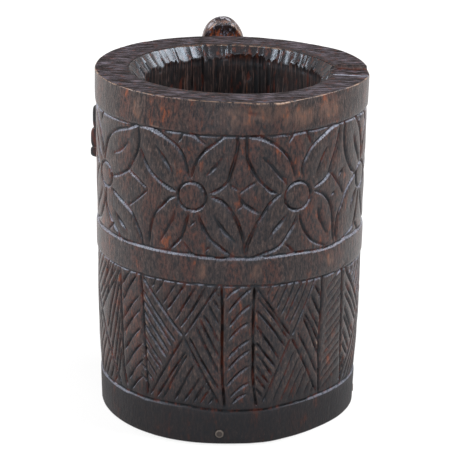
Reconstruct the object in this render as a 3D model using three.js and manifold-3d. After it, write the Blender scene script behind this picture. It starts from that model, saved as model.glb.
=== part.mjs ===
// Carved wooden pot, hollowed out of one log, with a pegged base board.
// Millimetres, +Z up. The origin is on the pot's axis, on the flat it stands on.
// Azimuths are in degrees: 0 is the front (-Y), 90 is the right side (+X), 180 is the back (+Y).
import * as THREE from 'three';
import * as BufferGeometryUtils from 'three/addons/utils/BufferGeometryUtils.js';
import Module from 'manifold-3d';

const wasm = await Module();
wasm.setup();

// The wall, from the floor up: three plain bands, and between each two a carved panel that is
// shaved a little below them and set off by a V-cut groove along each border
const FOOT_BAND_HEIGHT = 32;
const HATCH_PANEL_HEIGHT = 120.5;
const WAIST_BAND_HEIGHT = 24.5;
const FLOWER_PANEL_HEIGHT = 113.5;
const RIM_BAND_HEIGHT = 29.5;
const PANEL_DEPTH = 0.8;
const BORDER_WIDTH = 3;
const BORDER_DEPTH = 2.2;
const FOOT_RADIUS = 119;
const RIM_RADIUS = 125;
const FOOT_EDGE = 1.2;
const RIM_EDGE = 1;

// How far the wall swells beyond a straight taper, as [share of the height, mm] pairs
const WALL_SWELL = [
  [0, 0], [0.09, 0.4], [0.19, 2.1], [0.34, 2.9], [0.52, 1.7], [0.66, 1.4], [0.83, 1], [1, 0],
];

// The patterns in the two panels are V cuts, this wide and deep. A point of a cut is given as
// [azimuth, percent of the panel's height]. The wedge that cuts one stands CUT_CLEAR out of the
// wall, and no straight stretch of it goes more than CUT_TURN degrees round.
const CUT_WIDTH = 3.1;
const CUT_DEPTH = 1.8;
const CUT_CLEAR = 2.5;
const CUT_TURN = 12;

// The upper panel: a row of flowers with a round eye and four petals. A petal lies between two cuts
// and has a vein. These flowers, which were cut freehand, are given cut by cut.
const EYE_SPAN = 12.2;
const EYE_HEIGHT = 26;
const EYE_SIDES = 8;
const EYES = [[-65.4, 49], [-15.8, 50], [29.1, 49], [72.3, 49]];
const FREEHAND_CUTS = [
  [[-65.9, 60], [-62.5, 80], [-54.2, 91], [-41.6, 98]],
  [[-60, 51], [-51, 57], [-44.3, 70], [-41.6, 98]],
  [[-59.9, 41], [-49, 31], [-42.7, 19], [-38.8, 3]],
  [[-64.9, 38], [-65.7, 26], [-63, 18], [-52.7, 3]],
  [[-57.8, 70], [-49.2, 81]],
  [[-57, 22], [-48.4, 11]],
  [[-40.8, 84], [-38.5, 75], [-31.6, 60], [-21.7, 52]],
  [[-35.7, 98], [-26.8, 94], [-19.8, 82], [-17.1, 64]],
  [[-16.3, 63], [-15.3, 71], [-10.9, 86], [-2, 98]],
  [[2.5, 98], [2, 82], [-1, 63], [-9.4, 52]],
  [[-8.9, 52], [0, 41], [3.9, 28], [6.9, 2]],
  [[-13.1, 37], [-10.3, 23], [-3.9, 10], [2, 2]],
  [[-21.7, 49], [-28.6, 40], [-34.4, 23], [-35.8, 4]],
  [[-16.8, 37], [-18.2, 29], [-20.7, 15], [-26.1, 3]],
  [[-32.6, 88], [-23.7, 66]],
  [[-3, 83], [-9.9, 67]],
  [[-6.9, 37], [3.3, 14]],
  [[-23, 38], [-30.5, 8]],
  [[55.2, 98], [55.4, 81], [59.1, 64], [66.7, 52]],
  [[63.8, 98], [70.4, 81], [72, 60]],
  [[67.6, 53], [57.5, 41], [52.7, 26], [51.7, 3]],
  [[70.7, 37], [68.1, 20], [66.4, 11], [56.4, 3]],
  [[62.6, 86], [69.3, 61]],
  [[68.3, 41], [62.1, 25]],
];

// The two halves of one flower, with azimuths from its eye, cut freehand at the eye at 29.1 degrees
const RIGHT_OF_EYE = [
  [[1.5, 64], [3.5, 79], [8.4, 90], [20.3, 98]],
  [[22.7, 98], [20, 79], [17.1, 67], [7.3, 52]],
  [[7.3, 51], [15, 43], [18.9, 31], [20.7, 4]],
  [[0.9, 36], [1.9, 27], [7.2, 11], [15.9, 3]],
  [[15.2, 84], [8.8, 64]],
  [[10.5, 37], [16.2, 12]],
];
const LEFT_OF_EYE = [
  [[-22.4, 98], [-22.2, 82], [-18.2, 67], [-8.4, 52]],
  [[-21.2, 98], [-13.2, 95], [-6.4, 84], [-1.7, 64]],
  [[-7.4, 53], [-13.3, 44], [-18.3, 28], [-22, 3]],
  [[-0.5, 35], [-2.5, 23], [-7.5, 11], [-19.3, 2]],
  [[-16.2, 83], [-4.9, 59]],
  [[-4.5, 37], [-13.3, 15]],
];

// Round the sides and the back the flowers go on, drawn plainer: the same halves without veins
const REPEATED_EYES = [[116.8, 49], [161.3, 49], [205.7, 49], [250.2, 49]];
const RIGHT_HALF = [
  [[1.5, 64], [6, 86], [20.3, 98]],
  [[22, 98], [18, 70], [7.3, 52]],
  [[7.3, 51], [17.5, 35], [20, 4]],
  [[0.9, 36], [5, 15], [15.4, 3]],
];
const LEFT_HALF = [
  [[-21.7, 98], [-19, 70], [-8.1, 52]],
  [[-20.6, 98], [-9, 89], [-1.6, 64]],
  [[-7.2, 53], [-16, 33], [-21.3, 3]],
  [[-0.5, 35], [-5, 15], [-18.7, 2]],
];

// The lower panel: columns of slanting cuts, and wide fields crossed from corner to corner between
// them, whose four triangles are hatched. left and right give heights, top and bottom azimuths.
const SIDE_LINES = [
  [[-53.6, 98], [-52, 59], [-48.9, 4]],
  [[-40.5, 98], [-38.2, 58], [-36.4, 4]],
  [[-2.9, 98], [-2.4, 74], [-1, 2]],
  [[10.8, 98], [10.7, 49], [12.9, 3]],
  [[43.8, 98], [43.4, 45], [46.1, 3]],
  [[57.3, 98], [58.5, 50], [62.9, 3]],
];
const SLANTS = [
  [[-51.4, 74], [-42.5, 98]], [[-51, 48], [-40.1, 73]], [[-49.5, 22], [-38.8, 46]],
  [[0, 79], [9.8, 98]], [[0.5, 58], [8.8, 72]], [[0, 34], [9.8, 51]], [[1, 11], [9.8, 24]],
  [[-54.8, 98], [-57.6, 82], [-64.6, 45]], [[-53.7, 76], [-56, 57], [-61.3, 26]],
  [[-52.8, 49], [-54.6, 32], [-58.2, 10]], [[-58.9, 98], [-62.9, 83], [-66.2, 66]],
];
const FIELDS = [
  {
    corners: [[-39.6, 98], [-4.4, 98], [-34.9, 5], [-3.1, 5]],
    centre: [-18.8, 58],
    left: [81, 65, 47, 30],
    right: [80, 55, 30],
    top: [-28.5, -18.5],
    bottom: [-28.5, -19, -11.5],
  },
  {
    corners: [[11.3, 98], [40, 98], [15.4, 6], [44, 5]],
    centre: [27.8, 56.5],
    left: [82, 57, 40, 21],
    right: [81, 55, 35],
    top: [22, 29, 36],
    bottom: [24, 32, 40],
  },
];

// Round the sides and the back the fields and columns go on, drawn plainer, with azimuths from
// the left edge of each
const FIRST_REPEATED_FIELD = 60;
const REPEATED_FIELDS = 5;
const FIELD_SPAN = 37.7;
const COLUMN_SPAN = 14.5;
const REPEATED_FIELD = {
  corners: [[0, 98], [FIELD_SPAN, 98], [1, 4], [FIELD_SPAN, 4]],
  centre: [FIELD_SPAN / 2, 55],
  left: [55],
  right: [55],
  top: [20.8],
  bottom: [18.2],
};
const REPEATED_COLUMN = [
  [[0, 98], [0.4, 4]], [[COLUMN_SPAN, 98], [COLUMN_SPAN + 0.4, 4]],
  [[1.2, 14], [13.3, 35]], [[1.2, 57], [13.3, 78]],
];

// The hollow
const MOUTH_RADIUS = 91;
const MOUTH_SLOPE_DEPTH = 13;
const BORE_RADIUS = 82;

// How far the hand-cut rim, foot and mouth stray from round, as [azimuth, mm] pairs.
// The rim's error fades down the rim band, to a share of it that runs on to the foot.
// The foot's error fades up the lower panel.
const RIM_ERROR = [
  [0, -2], [18, 5], [28, 0.5], [45, -3], [75, 0.5], [100, 0],
  [125, 0.5], [145, -3], [175, -1.5], [225, 2.5], [260, 0.5], [325, -3],
];
const FOOT_ERROR = [
  [0, 1.6], [28, -1.4], [52, -2.2], [85, 0.2], [130, 0], [250, 0], [290, 1.3], [335, 4.2],
];
const MOUTH_ERROR = [
  [0, 0.5], [27, 5], [60, 1.5], [95, 1.5], [112, -2.5],
  [140, -4.5], [180, -4], [225, 1], [290, 1.5], [335, 0],
];
const ERROR_KEPT_BELOW = 0.3;

// The pouring channel across the rim
const CHANNEL_AZIMUTH = 90;
const CHANNEL_WIDTH = 36.5;
const CHANNEL_OFFSET = -2.7;
const CHANNEL_DEPTH = 4.5;

// The loop handle: a grip that rises past the rim, and two arms that widen into the wall.
// The crown closes in to CROWN_TIP degrees off its top, and keeps its thickness longer than its width.
const HANDLE_AZIMUTH = 183.3;
const FINGER_GAP = 27;
const GRIP_WIDTH = 43;
const GRIP_THICKNESS = 28;
const CROWN_RISE = 10;
const CROWN_HEIGHT = 27;
const CROWN_TIP = 8;
const CROWN_FULLNESS = 0.7;
const UPPER_ARM_BELOW_RIM = 33;
const ARM_SPACING = 113;
const ARM_WIDTH = 36;
const ARM_THICKNESS = 26;
const ARM_FLARE = 5;
const BEND_RADIUS = 30;

// The lug: an upright fin with rounded lobes along its edge, prouder towards the bottom
const LUG_AZIMUTH = 253;
const LUG_BELOW_RIM = 46;
const LUG_WIDTH = 16;
const LUG_BEVEL = 2;
const LOBE_HEIGHTS = [23, 18, 9.5];
const LOBE_PROUD = [8.7, 10.7, 11];
const NOTCH_DEPTH = 1.6;

// The base board and the pegs that hold it
const BASE_THICKNESS = 20;
const BASE_CHAMFER = 2;
const BASE_CLEARANCE = 0.3;
const PEG_RADIUS = 4;
const PEG_CHAMFER = 0.8;
const PEG_CLEARANCE = 0.3;
const PEG_BITE = 26;
const PEG_PROUD = 0.4;
const PEG_NAMES = ['base_peg_front', 'base_peg_right', 'base_peg_back', 'base_peg_left'];
const FIRST_PEG_AZIMUTH = -3;

// How finely the round shapes are faceted
const WALL_SIDES = 48;
const HATCH_PANEL_RINGS = 1;
const HANDLE_SIDES = 16;
const CROWN_STEPS = 6;
const BEND_STEPS = 6;
const LOBE_STEPS = 5;
const PEG_SIDES = 16;

// How deep a joined or cutting solid reaches into or past the wall
const OVERLAP = 12;

const hatchTop = FOOT_BAND_HEIGHT + HATCH_PANEL_HEIGHT;
const waistTop = hatchTop + WAIST_BAND_HEIGHT;
const flowersTop = waistTop + FLOWER_PANEL_HEIGHT;
const rimHeight = flowersTop + RIM_BAND_HEIGHT;
const pegHeight = BASE_THICKNESS / 2;

// A point at a distance from the axis, an azimuth in degrees and a height
function polar(radius, azimuth, height) {
  const angle = THREE.MathUtils.degToRad(azimuth);
  return new THREE.Vector3(radius * Math.sin(angle), -radius * Math.cos(angle), height);
}

// The value at an azimuth on a smooth closed curve through [azimuth, value] pairs
function aroundRing(pairs, azimuth) {
  const turn = THREE.MathUtils.euclideanModulo(azimuth, 360);
  const count = pairs.length;
  const found = pairs.findIndex((pair) => pair[0] > turn);
  const next = found < 0 ? count : found;
  const pairAt = (index) => {
    const [angle, value] = pairs[THREE.MathUtils.euclideanModulo(index, count)];
    return [angle + 360 * Math.floor(index / count), value];
  };
  const [before, from, to, after] = [-2, -1, 0, 1].map((step) => pairAt(next + step));
  const span = to[0] - from[0];
  const share = (turn - from[0]) / span;
  const slopeFrom = ((to[1] - before[1]) / (to[0] - before[0])) * span;
  const slopeTo = ((after[1] - from[1]) / (after[0] - from[0])) * span;
  const square = share * share;
  const cube = square * share;
  return (2 * cube - 3 * square + 1) * from[1] + (cube - 2 * square + share) * slopeFrom
    + (3 * square - 2 * cube) * to[1] + (cube - square) * slopeTo;
}

// How far the wall swells at a share of the height, on straight lines between the pairs
function swell(share) {
  const found = WALL_SWELL.findIndex((pair) => pair[0] >= share);
  const next = Math.max(found, 1);
  const [from, to] = [WALL_SWELL[next - 1], WALL_SWELL[next]];
  return THREE.MathUtils.mapLinear(share, from[0], to[0], from[1], to[1]);
}

// The wall's outer radius on a plain band, at an azimuth and a height
function wallRadius(azimuth, height) {
  const share = THREE.MathUtils.clamp(height / rimHeight, 0, 1);
  const mean = THREE.MathUtils.lerp(FOOT_RADIUS, RIM_RADIUS, share) + swell(share);
  const nearRim = THREE.MathUtils.smoothstep(height, flowersTop, rimHeight);
  const nearFoot = 1 - THREE.MathUtils.smoothstep(height, 0, hatchTop);
  return mean + THREE.MathUtils.lerp(ERROR_KEPT_BELOW, 1, nearRim) * aroundRing(RIM_ERROR, azimuth)
    + nearFoot * aroundRing(FOOT_ERROR, azimuth);
}

// A closed skin over rings of points: its ends get caps, or join up into a ring of rings
function skin(rings, endsJoined) {
  const sides = rings[0].length;
  const points = rings.flat().flatMap((point) => point.toArray());
  const faces = [];
  const strips = endsJoined ? rings.length : rings.length - 1;
  for (let strip = 0; strip < strips; strip += 1) {
    const near = strip * sides;
    const far = ((strip + 1) % rings.length) * sides;
    for (let side = 0; side < sides; side += 1) {
      const other = (side + 1) % sides;
      faces.push(near + side, near + other, far + other);
      faces.push(near + side, far + other, far + side);
    }
  }
  if (!endsJoined) {
    const last = (rings.length - 1) * sides;
    for (let side = 1; side < sides - 1; side += 1) {
      faces.push(0, side + 1, side);
      faces.push(last, last + side, last + side + 1);
    }
  }
  const geometry = new THREE.BufferGeometry();
  geometry.setAttribute('position', new THREE.Float32BufferAttribute(points, 3));
  geometry.setIndex(faces);
  return geometry;
}

// A solid for joining and cutting, from a closed geometry
function solid(geometry) {
  const bare = geometry.clone();
  bare.deleteAttribute('normal');
  bare.deleteAttribute('uv');
  const merged = BufferGeometryUtils.mergeVertices(bare, 1e-4);
  return new wasm.Manifold(new wasm.Mesh({
    numProp: 3,
    vertProperties: new Float32Array(merged.attributes.position.array),
    triVerts: new Uint32Array(merged.index.array),
  }));
}

// A geometry again, from a joined or cut solid
function geometryOf(body) {
  const mesh = body.getMesh();
  const geometry = new THREE.BufferGeometry();
  geometry.setAttribute('position', new THREE.Float32BufferAttribute(mesh.vertProperties, 3));
  geometry.setIndex([...mesh.triVerts]);
  return geometry;
}

// The log: each ring goes once around the pot, and the rings run up the outside and down the hollow
function wallGeometry() {
  const outside = (height, inset) => (azimuth) => polar(wallRadius(azimuth, height) - inset, azimuth, height);
  const mouth = (azimuth) => polar(MOUTH_RADIUS + aroundRing(MOUTH_ERROR, azimuth), azimuth, rimHeight);
  const bore = (height) => (azimuth) => polar(BORE_RADIUS, azimuth, height);
  const border = (band, towardsPanel) => [
    outside(band, 0),
    outside(band + towardsPanel * (BORDER_WIDTH / 2), BORDER_DEPTH),
    outside(band + towardsPanel * BORDER_WIDTH, PANEL_DEPTH),
  ];
  const panelRing = (_, ring) => {
    const share = (ring + 1) / (HATCH_PANEL_RINGS + 1);
    return outside(FOOT_BAND_HEIGHT + HATCH_PANEL_HEIGHT * share, PANEL_DEPTH);
  };
  const stations = [
    outside(0, FOOT_EDGE),
    outside(FOOT_EDGE, 0),
    ...border(FOOT_BAND_HEIGHT, 1),
    ...Array.from({ length: HATCH_PANEL_RINGS }, panelRing),
    ...border(hatchTop, -1).reverse(),
    ...border(waistTop, 1),
    ...border(flowersTop, -1).reverse(),
    outside((flowersTop + rimHeight) / 2, 0),
    outside(rimHeight - RIM_EDGE, 0),
    outside(rimHeight, RIM_EDGE),
    mouth,
    bore(rimHeight - MOUTH_SLOPE_DEPTH),
    bore(BASE_THICKNESS),
    bore(0),
  ];
  const azimuths = Array.from({ length: WALL_SIDES }, (_, side) => (360 * side) / WALL_SIDES);
  return skin(stations.map((station) => azimuths.map(station)), true);
}

// What a V cut takes out of the wall: a wedge along the cut's points, on straight stretches
function cutGeometry(points, panelBottom, panelHeight) {
  const path = [points[0]];
  points.slice(1).forEach((to, index) => {
    const from = points[index];
    const stretches = Math.ceil(Math.abs(to[0] - from[0]) / CUT_TURN) || 1;
    for (let step = 1; step <= stretches; step += 1) {
      path.push([0, 1].map((part) => THREE.MathUtils.lerp(from[part], to[part], step / stretches)));
    }
  });
  const places = path.map(([azimuth, percent]) => {
    const height = panelBottom + (panelHeight * percent) / 100;
    return { azimuth, place: polar(wallRadius(azimuth, height) - PANEL_DEPTH, azimuth, height) };
  });
  const halfWidth = (CUT_WIDTH / 2) * (1 + CUT_CLEAR / CUT_DEPTH);
  return skin(places.map(({ azimuth, place }, index) => {
    const before = places[Math.max(index - 1, 0)].place;
    const after = places[Math.min(index + 1, places.length - 1)].place;
    const away = polar(1, azimuth, 0);
    const across = new THREE.Vector3().crossVectors(after.clone().sub(before), away).normalize();
    const lifted = place.clone().addScaledVector(away, CUT_CLEAR);
    return [
      place.clone().addScaledVector(away, -CUT_DEPTH),
      lifted.clone().addScaledVector(across, -halfWidth),
      lifted.clone().addScaledVector(across, halfWidth),
    ];
  }), false);
}

// The round eye of a flower: one closed V cut, as a wedge that joins up with itself
function eyeGeometry([azimuth, percent], panelBottom, panelHeight) {
  const middle = panelBottom + (panelHeight * percent) / 100;
  const at = (grow, rise, angle) => {
    const turned = azimuth + (EYE_SPAN / 2) * grow * Math.cos(angle);
    const height = middle + (EYE_HEIGHT / 2) * grow * Math.sin(angle);
    return polar(wallRadius(turned, height) - PANEL_DEPTH + rise, turned, height);
  };
  const spread = ((CUT_WIDTH / 2) * (1 + CUT_CLEAR / CUT_DEPTH)) / (EYE_HEIGHT / 2);
  return skin(Array.from({ length: EYE_SIDES }, (_, side) => {
    const angle = (2 * Math.PI * (side + 0.5)) / EYE_SIDES;
    return [at(1, -CUT_DEPTH, angle), at(1 - spread, CUT_CLEAR, angle), at(1 + spread, CUT_CLEAR, angle)];
  }), true);
}

// A cut of a crossed field, from its start and parallel to one arm of the cross up to another arm
function hatchCut(start, parallelTo, upTo, centre) {
  const slope = (centre[1] - parallelTo[1]) / (centre[0] - parallelTo[0]);
  const armSlope = (centre[1] - upTo[1]) / (centre[0] - upTo[0]);
  const azimuth = (upTo[1] - start[1] + slope * start[0] - armSlope * upTo[0]) / (slope - armSlope);
  return [start, [azimuth, start[1] + slope * (azimuth - start[0])]];
}

// All the cuts of a crossed field
function fieldCuts({ corners, centre, left, right, top, bottom }) {
  const [topLeft, topRight, bottomLeft, bottomRight] = corners;
  return [
    ...corners.map((corner) => [corner, centre]),
    ...left.map((percent) => hatchCut([topLeft[0], percent], topLeft, bottomLeft, centre)),
    ...right.map((percent) => hatchCut([bottomRight[0], percent], bottomRight, topRight, centre)),
    ...top.map((azimuth) => hatchCut([azimuth, topLeft[1]], topRight, topLeft, centre)),
    ...bottom.map((azimuth) => hatchCut([azimuth, bottomLeft[1]], bottomLeft, bottomRight, centre)),
  ];
}

// A group of cuts, moved round the wall
function cutsAt(azimuth, cuts) {
  return cuts.map((cut) => cut.map(([along, percent]) => [azimuth + along, percent]));
}

// The cuts of the lower panel that go on round the sides and the back. The last field has the
// strokes of its right-hand triangle among the slants.
function repeatedHatchCuts() {
  const cuts = [];
  for (let field = 0; field < REPEATED_FIELDS; field += 1) {
    const start = FIRST_REPEATED_FIELD + field * (FIELD_SPAN + COLUMN_SPAN);
    const last = field === REPEATED_FIELDS - 1;
    cuts.push(...cutsAt(start, fieldCuts(last ? { ...REPEATED_FIELD, right: [] } : REPEATED_FIELD)));
    if (!last) {
      cuts.push(...cutsAt(start + FIELD_SPAN, REPEATED_COLUMN));
    }
  }
  return cuts;
}

const flowerCuts = [
  ...FREEHAND_CUTS,
  ...cutsAt(EYES[2][0], [...LEFT_OF_EYE, ...RIGHT_OF_EYE]),
  ...[EYES[3], ...REPEATED_EYES].flatMap(([azimuth]) => cutsAt(azimuth, RIGHT_HALF)),
  ...[EYES[0], ...REPEATED_EYES].flatMap(([azimuth]) => cutsAt(azimuth, LEFT_HALF)),
];
const hatchCuts = [...SIDE_LINES, ...SLANTS, ...FIELDS.flatMap(fieldCuts), ...repeatedHatchCuts()];

const gripMiddle = rimHeight - UPPER_ARM_BELOW_RIM - ARM_SPACING / 2;
const gripRadius = wallRadius(HANDLE_AZIMUTH, gripMiddle) + FINGER_GAP + GRIP_THICKNESS / 2;
const outward = polar(1, HANDLE_AZIMUTH, 0);
const sideways = polar(1, HANDLE_AZIMUTH - 90, 0);
const upward = new THREE.Vector3(0, 0, 1);

// A section of the handle about a centre: an oval, squarer than an ellipse, thick across and wide sideways
function section(centre, across, thickness, width) {
  const squareness = 0.8;
  const squared = (value) => Math.sign(value) * Math.abs(value) ** squareness;
  return Array.from({ length: HANDLE_SIDES }, (_, side) => {
    const angle = (2 * Math.PI * side) / HANDLE_SIDES;
    return centre.clone()
      .addScaledVector(across, (thickness / 2) * squared(Math.cos(angle)))
      .addScaledVector(sideways, (width / 2) * squared(Math.sin(angle)));
  });
}

// The sections of an arm where it leaves the wall, from inside the wall outwards
function armRoot(height, across) {
  const wall = wallRadius(HANDLE_AZIMUTH, height);
  return [-OVERLAP, 0, ARM_FLARE].map((reach) => {
    const flare = 2 * Math.min(ARM_FLARE, ARM_FLARE - reach);
    const centre = polar(wall + reach, HANDLE_AZIMUTH, height);
    return section(centre, across, ARM_THICKNESS + flare, ARM_WIDTH + flare);
  });
}

// The grip, from its domed crown straight down, round the lower bend and back into the wall
function gripGeometry() {
  const rings = [];
  for (let step = 0; step <= CROWN_STEPS; step += 1) {
    const angle = THREE.MathUtils.degToRad(THREE.MathUtils.lerp(CROWN_TIP, 90, step / CROWN_STEPS));
    const width = Math.sin(angle);
    const height = rimHeight + CROWN_RISE - CROWN_HEIGHT * (1 - Math.cos(angle));
    const centre = polar(gripRadius, HANDLE_AZIMUTH, height);
    rings.push(section(centre, outward, GRIP_THICKNESS * width ** CROWN_FULLNESS, GRIP_WIDTH * width));
  }
  const lowerArmHeight = rimHeight - UPPER_ARM_BELOW_RIM - ARM_SPACING;
  for (let step = 0; step <= BEND_STEPS; step += 1) {
    const share = step / BEND_STEPS;
    const angle = (Math.PI / 2) * share;
    const radius = gripRadius - BEND_RADIUS * (1 - Math.cos(angle));
    const height = lowerArmHeight + BEND_RADIUS * (1 - Math.sin(angle));
    const across = outward.clone().multiplyScalar(Math.cos(angle)).addScaledVector(upward, -Math.sin(angle));
    const thickness = THREE.MathUtils.lerp(GRIP_THICKNESS, ARM_THICKNESS, share);
    const width = THREE.MathUtils.lerp(GRIP_WIDTH, ARM_WIDTH, share);
    rings.push(section(polar(radius, HANDLE_AZIMUTH, height), across, thickness, width));
  }
  rings.push(...armRoot(lowerArmHeight, upward.clone().negate()).reverse());
  return skin(rings, false);
}

// The upper arm, straight from inside the wall to the middle of the grip
function upperArmGeometry() {
  const height = rimHeight - UPPER_ARM_BELOW_RIM;
  const end = section(polar(gripRadius, HANDLE_AZIMUTH, height), upward, ARM_THICKNESS, ARM_WIDTH);
  return skin([...armRoot(height, upward), end], false);
}

// The lug: its outline, away from the wall and up, swept across its width and turned to its azimuth
function lugGeometry() {
  const lugHeight = LOBE_HEIGHTS.reduce((sum, lobe) => sum + lobe, 0);
  const outline = [new THREE.Vector2(-OVERLAP, 0), new THREE.Vector2(-OVERLAP, lugHeight)];
  let top = lugHeight;
  LOBE_HEIGHTS.forEach((lobe, index) => {
    for (let step = 0; step <= LOBE_STEPS; step += 1) {
      const share = step / LOBE_STEPS;
      const notch = NOTCH_DEPTH * (1 - Math.sin(Math.PI * share));
      outline.push(new THREE.Vector2(LOBE_PROUD[index] - notch, top - lobe * share));
    }
    top -= lobe;
  });
  const geometry = new THREE.ExtrudeGeometry(new THREE.Shape(outline), {
    depth: LUG_WIDTH - 2 * LUG_BEVEL,
    bevelThickness: LUG_BEVEL,
    bevelSize: LUG_BEVEL,
    bevelOffset: -LUG_BEVEL,
    bevelSegments: 2,
  });
  geometry.translate(0, 0, -(LUG_WIDTH / 2 - LUG_BEVEL));
  const bottom = rimHeight - LUG_BELOW_RIM - lugHeight;
  const wall = wallRadius(LUG_AZIMUTH, bottom + lugHeight / 2);
  const away = polar(1, LUG_AZIMUTH, 0);
  const placed = new THREE.Matrix4().makeBasis(away, upward, new THREE.Vector3().crossVectors(away, upward));
  placed.setPosition(polar(wall, LUG_AZIMUTH, bottom));
  return geometry.applyMatrix4(placed);
}

// The box that cuts the channel, from the hollow out past the rim
function channelGeometry() {
  const inner = BORE_RADIUS / 2;
  const length = RIM_RADIUS + OVERLAP - inner;
  const height = CHANNEL_DEPTH + OVERLAP;
  const box = new THREE.BoxGeometry(CHANNEL_WIDTH, length, height);
  box.translate(CHANNEL_OFFSET, -(inner + length / 2), rimHeight - CHANNEL_DEPTH + height / 2);
  return box.rotateZ(THREE.MathUtils.degToRad(CHANNEL_AZIMUTH));
}

// A rod that lies along an azimuth at the pegs' height, with chamfered ends
function rodGeometry(radius, azimuth, inner, outer) {
  const profile = [
    new THREE.Vector2(0, inner),
    new THREE.Vector2(radius - PEG_CHAMFER, inner),
    new THREE.Vector2(radius, inner + PEG_CHAMFER),
    new THREE.Vector2(radius, outer - PEG_CHAMFER),
    new THREE.Vector2(radius - PEG_CHAMFER, outer),
    new THREE.Vector2(0, outer),
  ];
  const rod = new THREE.LatheGeometry(profile, PEG_SIDES).rotateX(Math.PI);
  return rod.translate(0, 0, pegHeight).rotateZ(THREE.MathUtils.degToRad(azimuth));
}

// The base board, chamfered round its upper edge where it is driven up into the hollow
function boardGeometry() {
  const radius = BORE_RADIUS - BASE_CLEARANCE;
  const profile = [
    new THREE.Vector2(0, 0),
    new THREE.Vector2(radius, 0),
    new THREE.Vector2(radius, BASE_THICKNESS - BASE_CHAMFER),
    new THREE.Vector2(radius - BASE_CHAMFER, BASE_THICKNESS),
    new THREE.Vector2(0, BASE_THICKNESS),
  ];
  return new THREE.LatheGeometry(profile, WALL_SIDES).rotateX(Math.PI / 2);
}

// The pegs, with the holes that they are driven into
const pegInner = BORE_RADIUS - BASE_CLEARANCE - PEG_BITE;
const pegs = PEG_NAMES.map((name, index) => {
  const azimuth = FIRST_PEG_AZIMUTH + (360 * index) / PEG_NAMES.length;
  const wall = wallRadius(azimuth, pegHeight);
  return {
    name,
    geometry: rodGeometry(PEG_RADIUS, azimuth, pegInner, wall + PEG_PROUD),
    hole: solid(rodGeometry(PEG_RADIUS + PEG_CLEARANCE, azimuth, pegInner - PEG_CLEARANCE, wall + OVERLAP)),
  };
});

const carving = [
  ...flowerCuts.map((cut) => cutGeometry(cut, waistTop, FLOWER_PANEL_HEIGHT)),
  ...[...EYES, ...REPEATED_EYES].map((eye) => eyeGeometry(eye, waistTop, FLOWER_PANEL_HEIGHT)),
  ...hatchCuts.map((cut) => cutGeometry(cut, FOOT_BAND_HEIGHT, HATCH_PANEL_HEIGHT)),
];
let log = solid(wallGeometry()).subtract(wasm.Manifold.union(carving.map(solid)));
[gripGeometry(), upperArmGeometry(), lugGeometry()].forEach((feature) => {
  log = log.add(solid(feature));
});
log = log.subtract(solid(channelGeometry()));
let board = solid(boardGeometry());
pegs.forEach((peg) => {
  log = log.subtract(peg.hole);
  board = board.subtract(peg.hole);
});

const logWood = new THREE.MeshStandardMaterial({ color: 0x32241f, roughness: 0.5, metalness: 0 });
const boardWood = new THREE.MeshStandardMaterial({ color: 0x3a2a22, roughness: 0.65, metalness: 0 });
const pegWood = new THREE.MeshStandardMaterial({ color: 0x4a372b, roughness: 0.6, metalness: 0 });

function piece(name, geometry, material) {
  const mesh = new THREE.Mesh(geometry, material);
  mesh.name = name;
  return mesh;
}

const pot = new THREE.Group();
pot.add(piece('pot_body', geometryOf(log), logWood));
pot.add(piece('base_disc', geometryOf(board), boardWood));
pegs.forEach((peg) => pot.add(piece(peg.name, peg.geometry, pegWood)));

export default pot;
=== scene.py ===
import math

import bpy
import numpy as np
from mathutils import Matrix


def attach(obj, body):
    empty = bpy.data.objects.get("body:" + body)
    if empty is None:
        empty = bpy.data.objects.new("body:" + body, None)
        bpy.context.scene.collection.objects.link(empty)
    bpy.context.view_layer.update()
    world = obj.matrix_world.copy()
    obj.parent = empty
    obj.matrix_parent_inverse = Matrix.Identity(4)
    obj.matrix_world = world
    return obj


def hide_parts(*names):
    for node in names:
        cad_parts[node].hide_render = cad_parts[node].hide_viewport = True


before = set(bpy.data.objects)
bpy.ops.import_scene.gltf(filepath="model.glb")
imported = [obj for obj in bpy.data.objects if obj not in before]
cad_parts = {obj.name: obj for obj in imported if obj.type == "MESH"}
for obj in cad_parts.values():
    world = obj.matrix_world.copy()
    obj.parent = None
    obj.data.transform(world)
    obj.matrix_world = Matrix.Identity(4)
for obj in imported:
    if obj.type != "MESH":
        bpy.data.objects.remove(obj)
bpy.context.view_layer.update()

# The wall: one hardwood log, hollowed from end to end and shaved round with adze and drawknife.
# Three plain bands are left proud, and the two panels between them are shaved 0.8 mm lower.
# Sizes are in millimetres. Azimuths are in degrees: 0 is the front, 90 the side with the channel.
FOOT_BAND_TOP = 32.0
HATCH_TOP = 152.5
WAIST_TOP = 177.0
FLOWERS_TOP = 290.5
RIM_HEIGHT = 320.0
FOOT_RADIUS = 119.0
RIM_RADIUS = 125.0
WALL_SWELL = ([0, 0.09, 0.19, 0.34, 0.52, 0.66, 0.83, 1], [0, 0.4, 2.1, 2.9, 1.7, 1.4, 1, 0])
PANEL_DEPTH = 0.8
FOOT_EDGE = 1.2
RIM_ERROR = [
    (0, -2), (18, 5), (28, 0.5), (45, -3), (75, 0.5), (100, 0),
    (125, 0.5), (145, -3), (175, -1.5), (225, 2.5), (260, 0.5), (325, -3),
]
FOOT_ERROR = [(0, 1.6), (28, -1.4), (52, -2.2), (85, 0.2), (130, 0), (250, 0), (290, 1.3), (335, 4.2)]
ERROR_KEPT_BELOW = 0.3

# The mesh of the outside is a net of points, 0.9 mm apart round the pot and 1 mm apart up the panels
COLUMNS = 900
COLUMN_STEP = 360 / COLUMNS
PANEL_PITCH = 1.05
BAND_PITCH = 2.2
MM_PER_DEGREE = 2.147


def smoothstep(value, low, high):
    """0 below low, 1 above high, and eased between them."""
    share = np.clip((value - low) / (high - low), 0, 1)
    return share * share * (3 - 2 * share)


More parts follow.
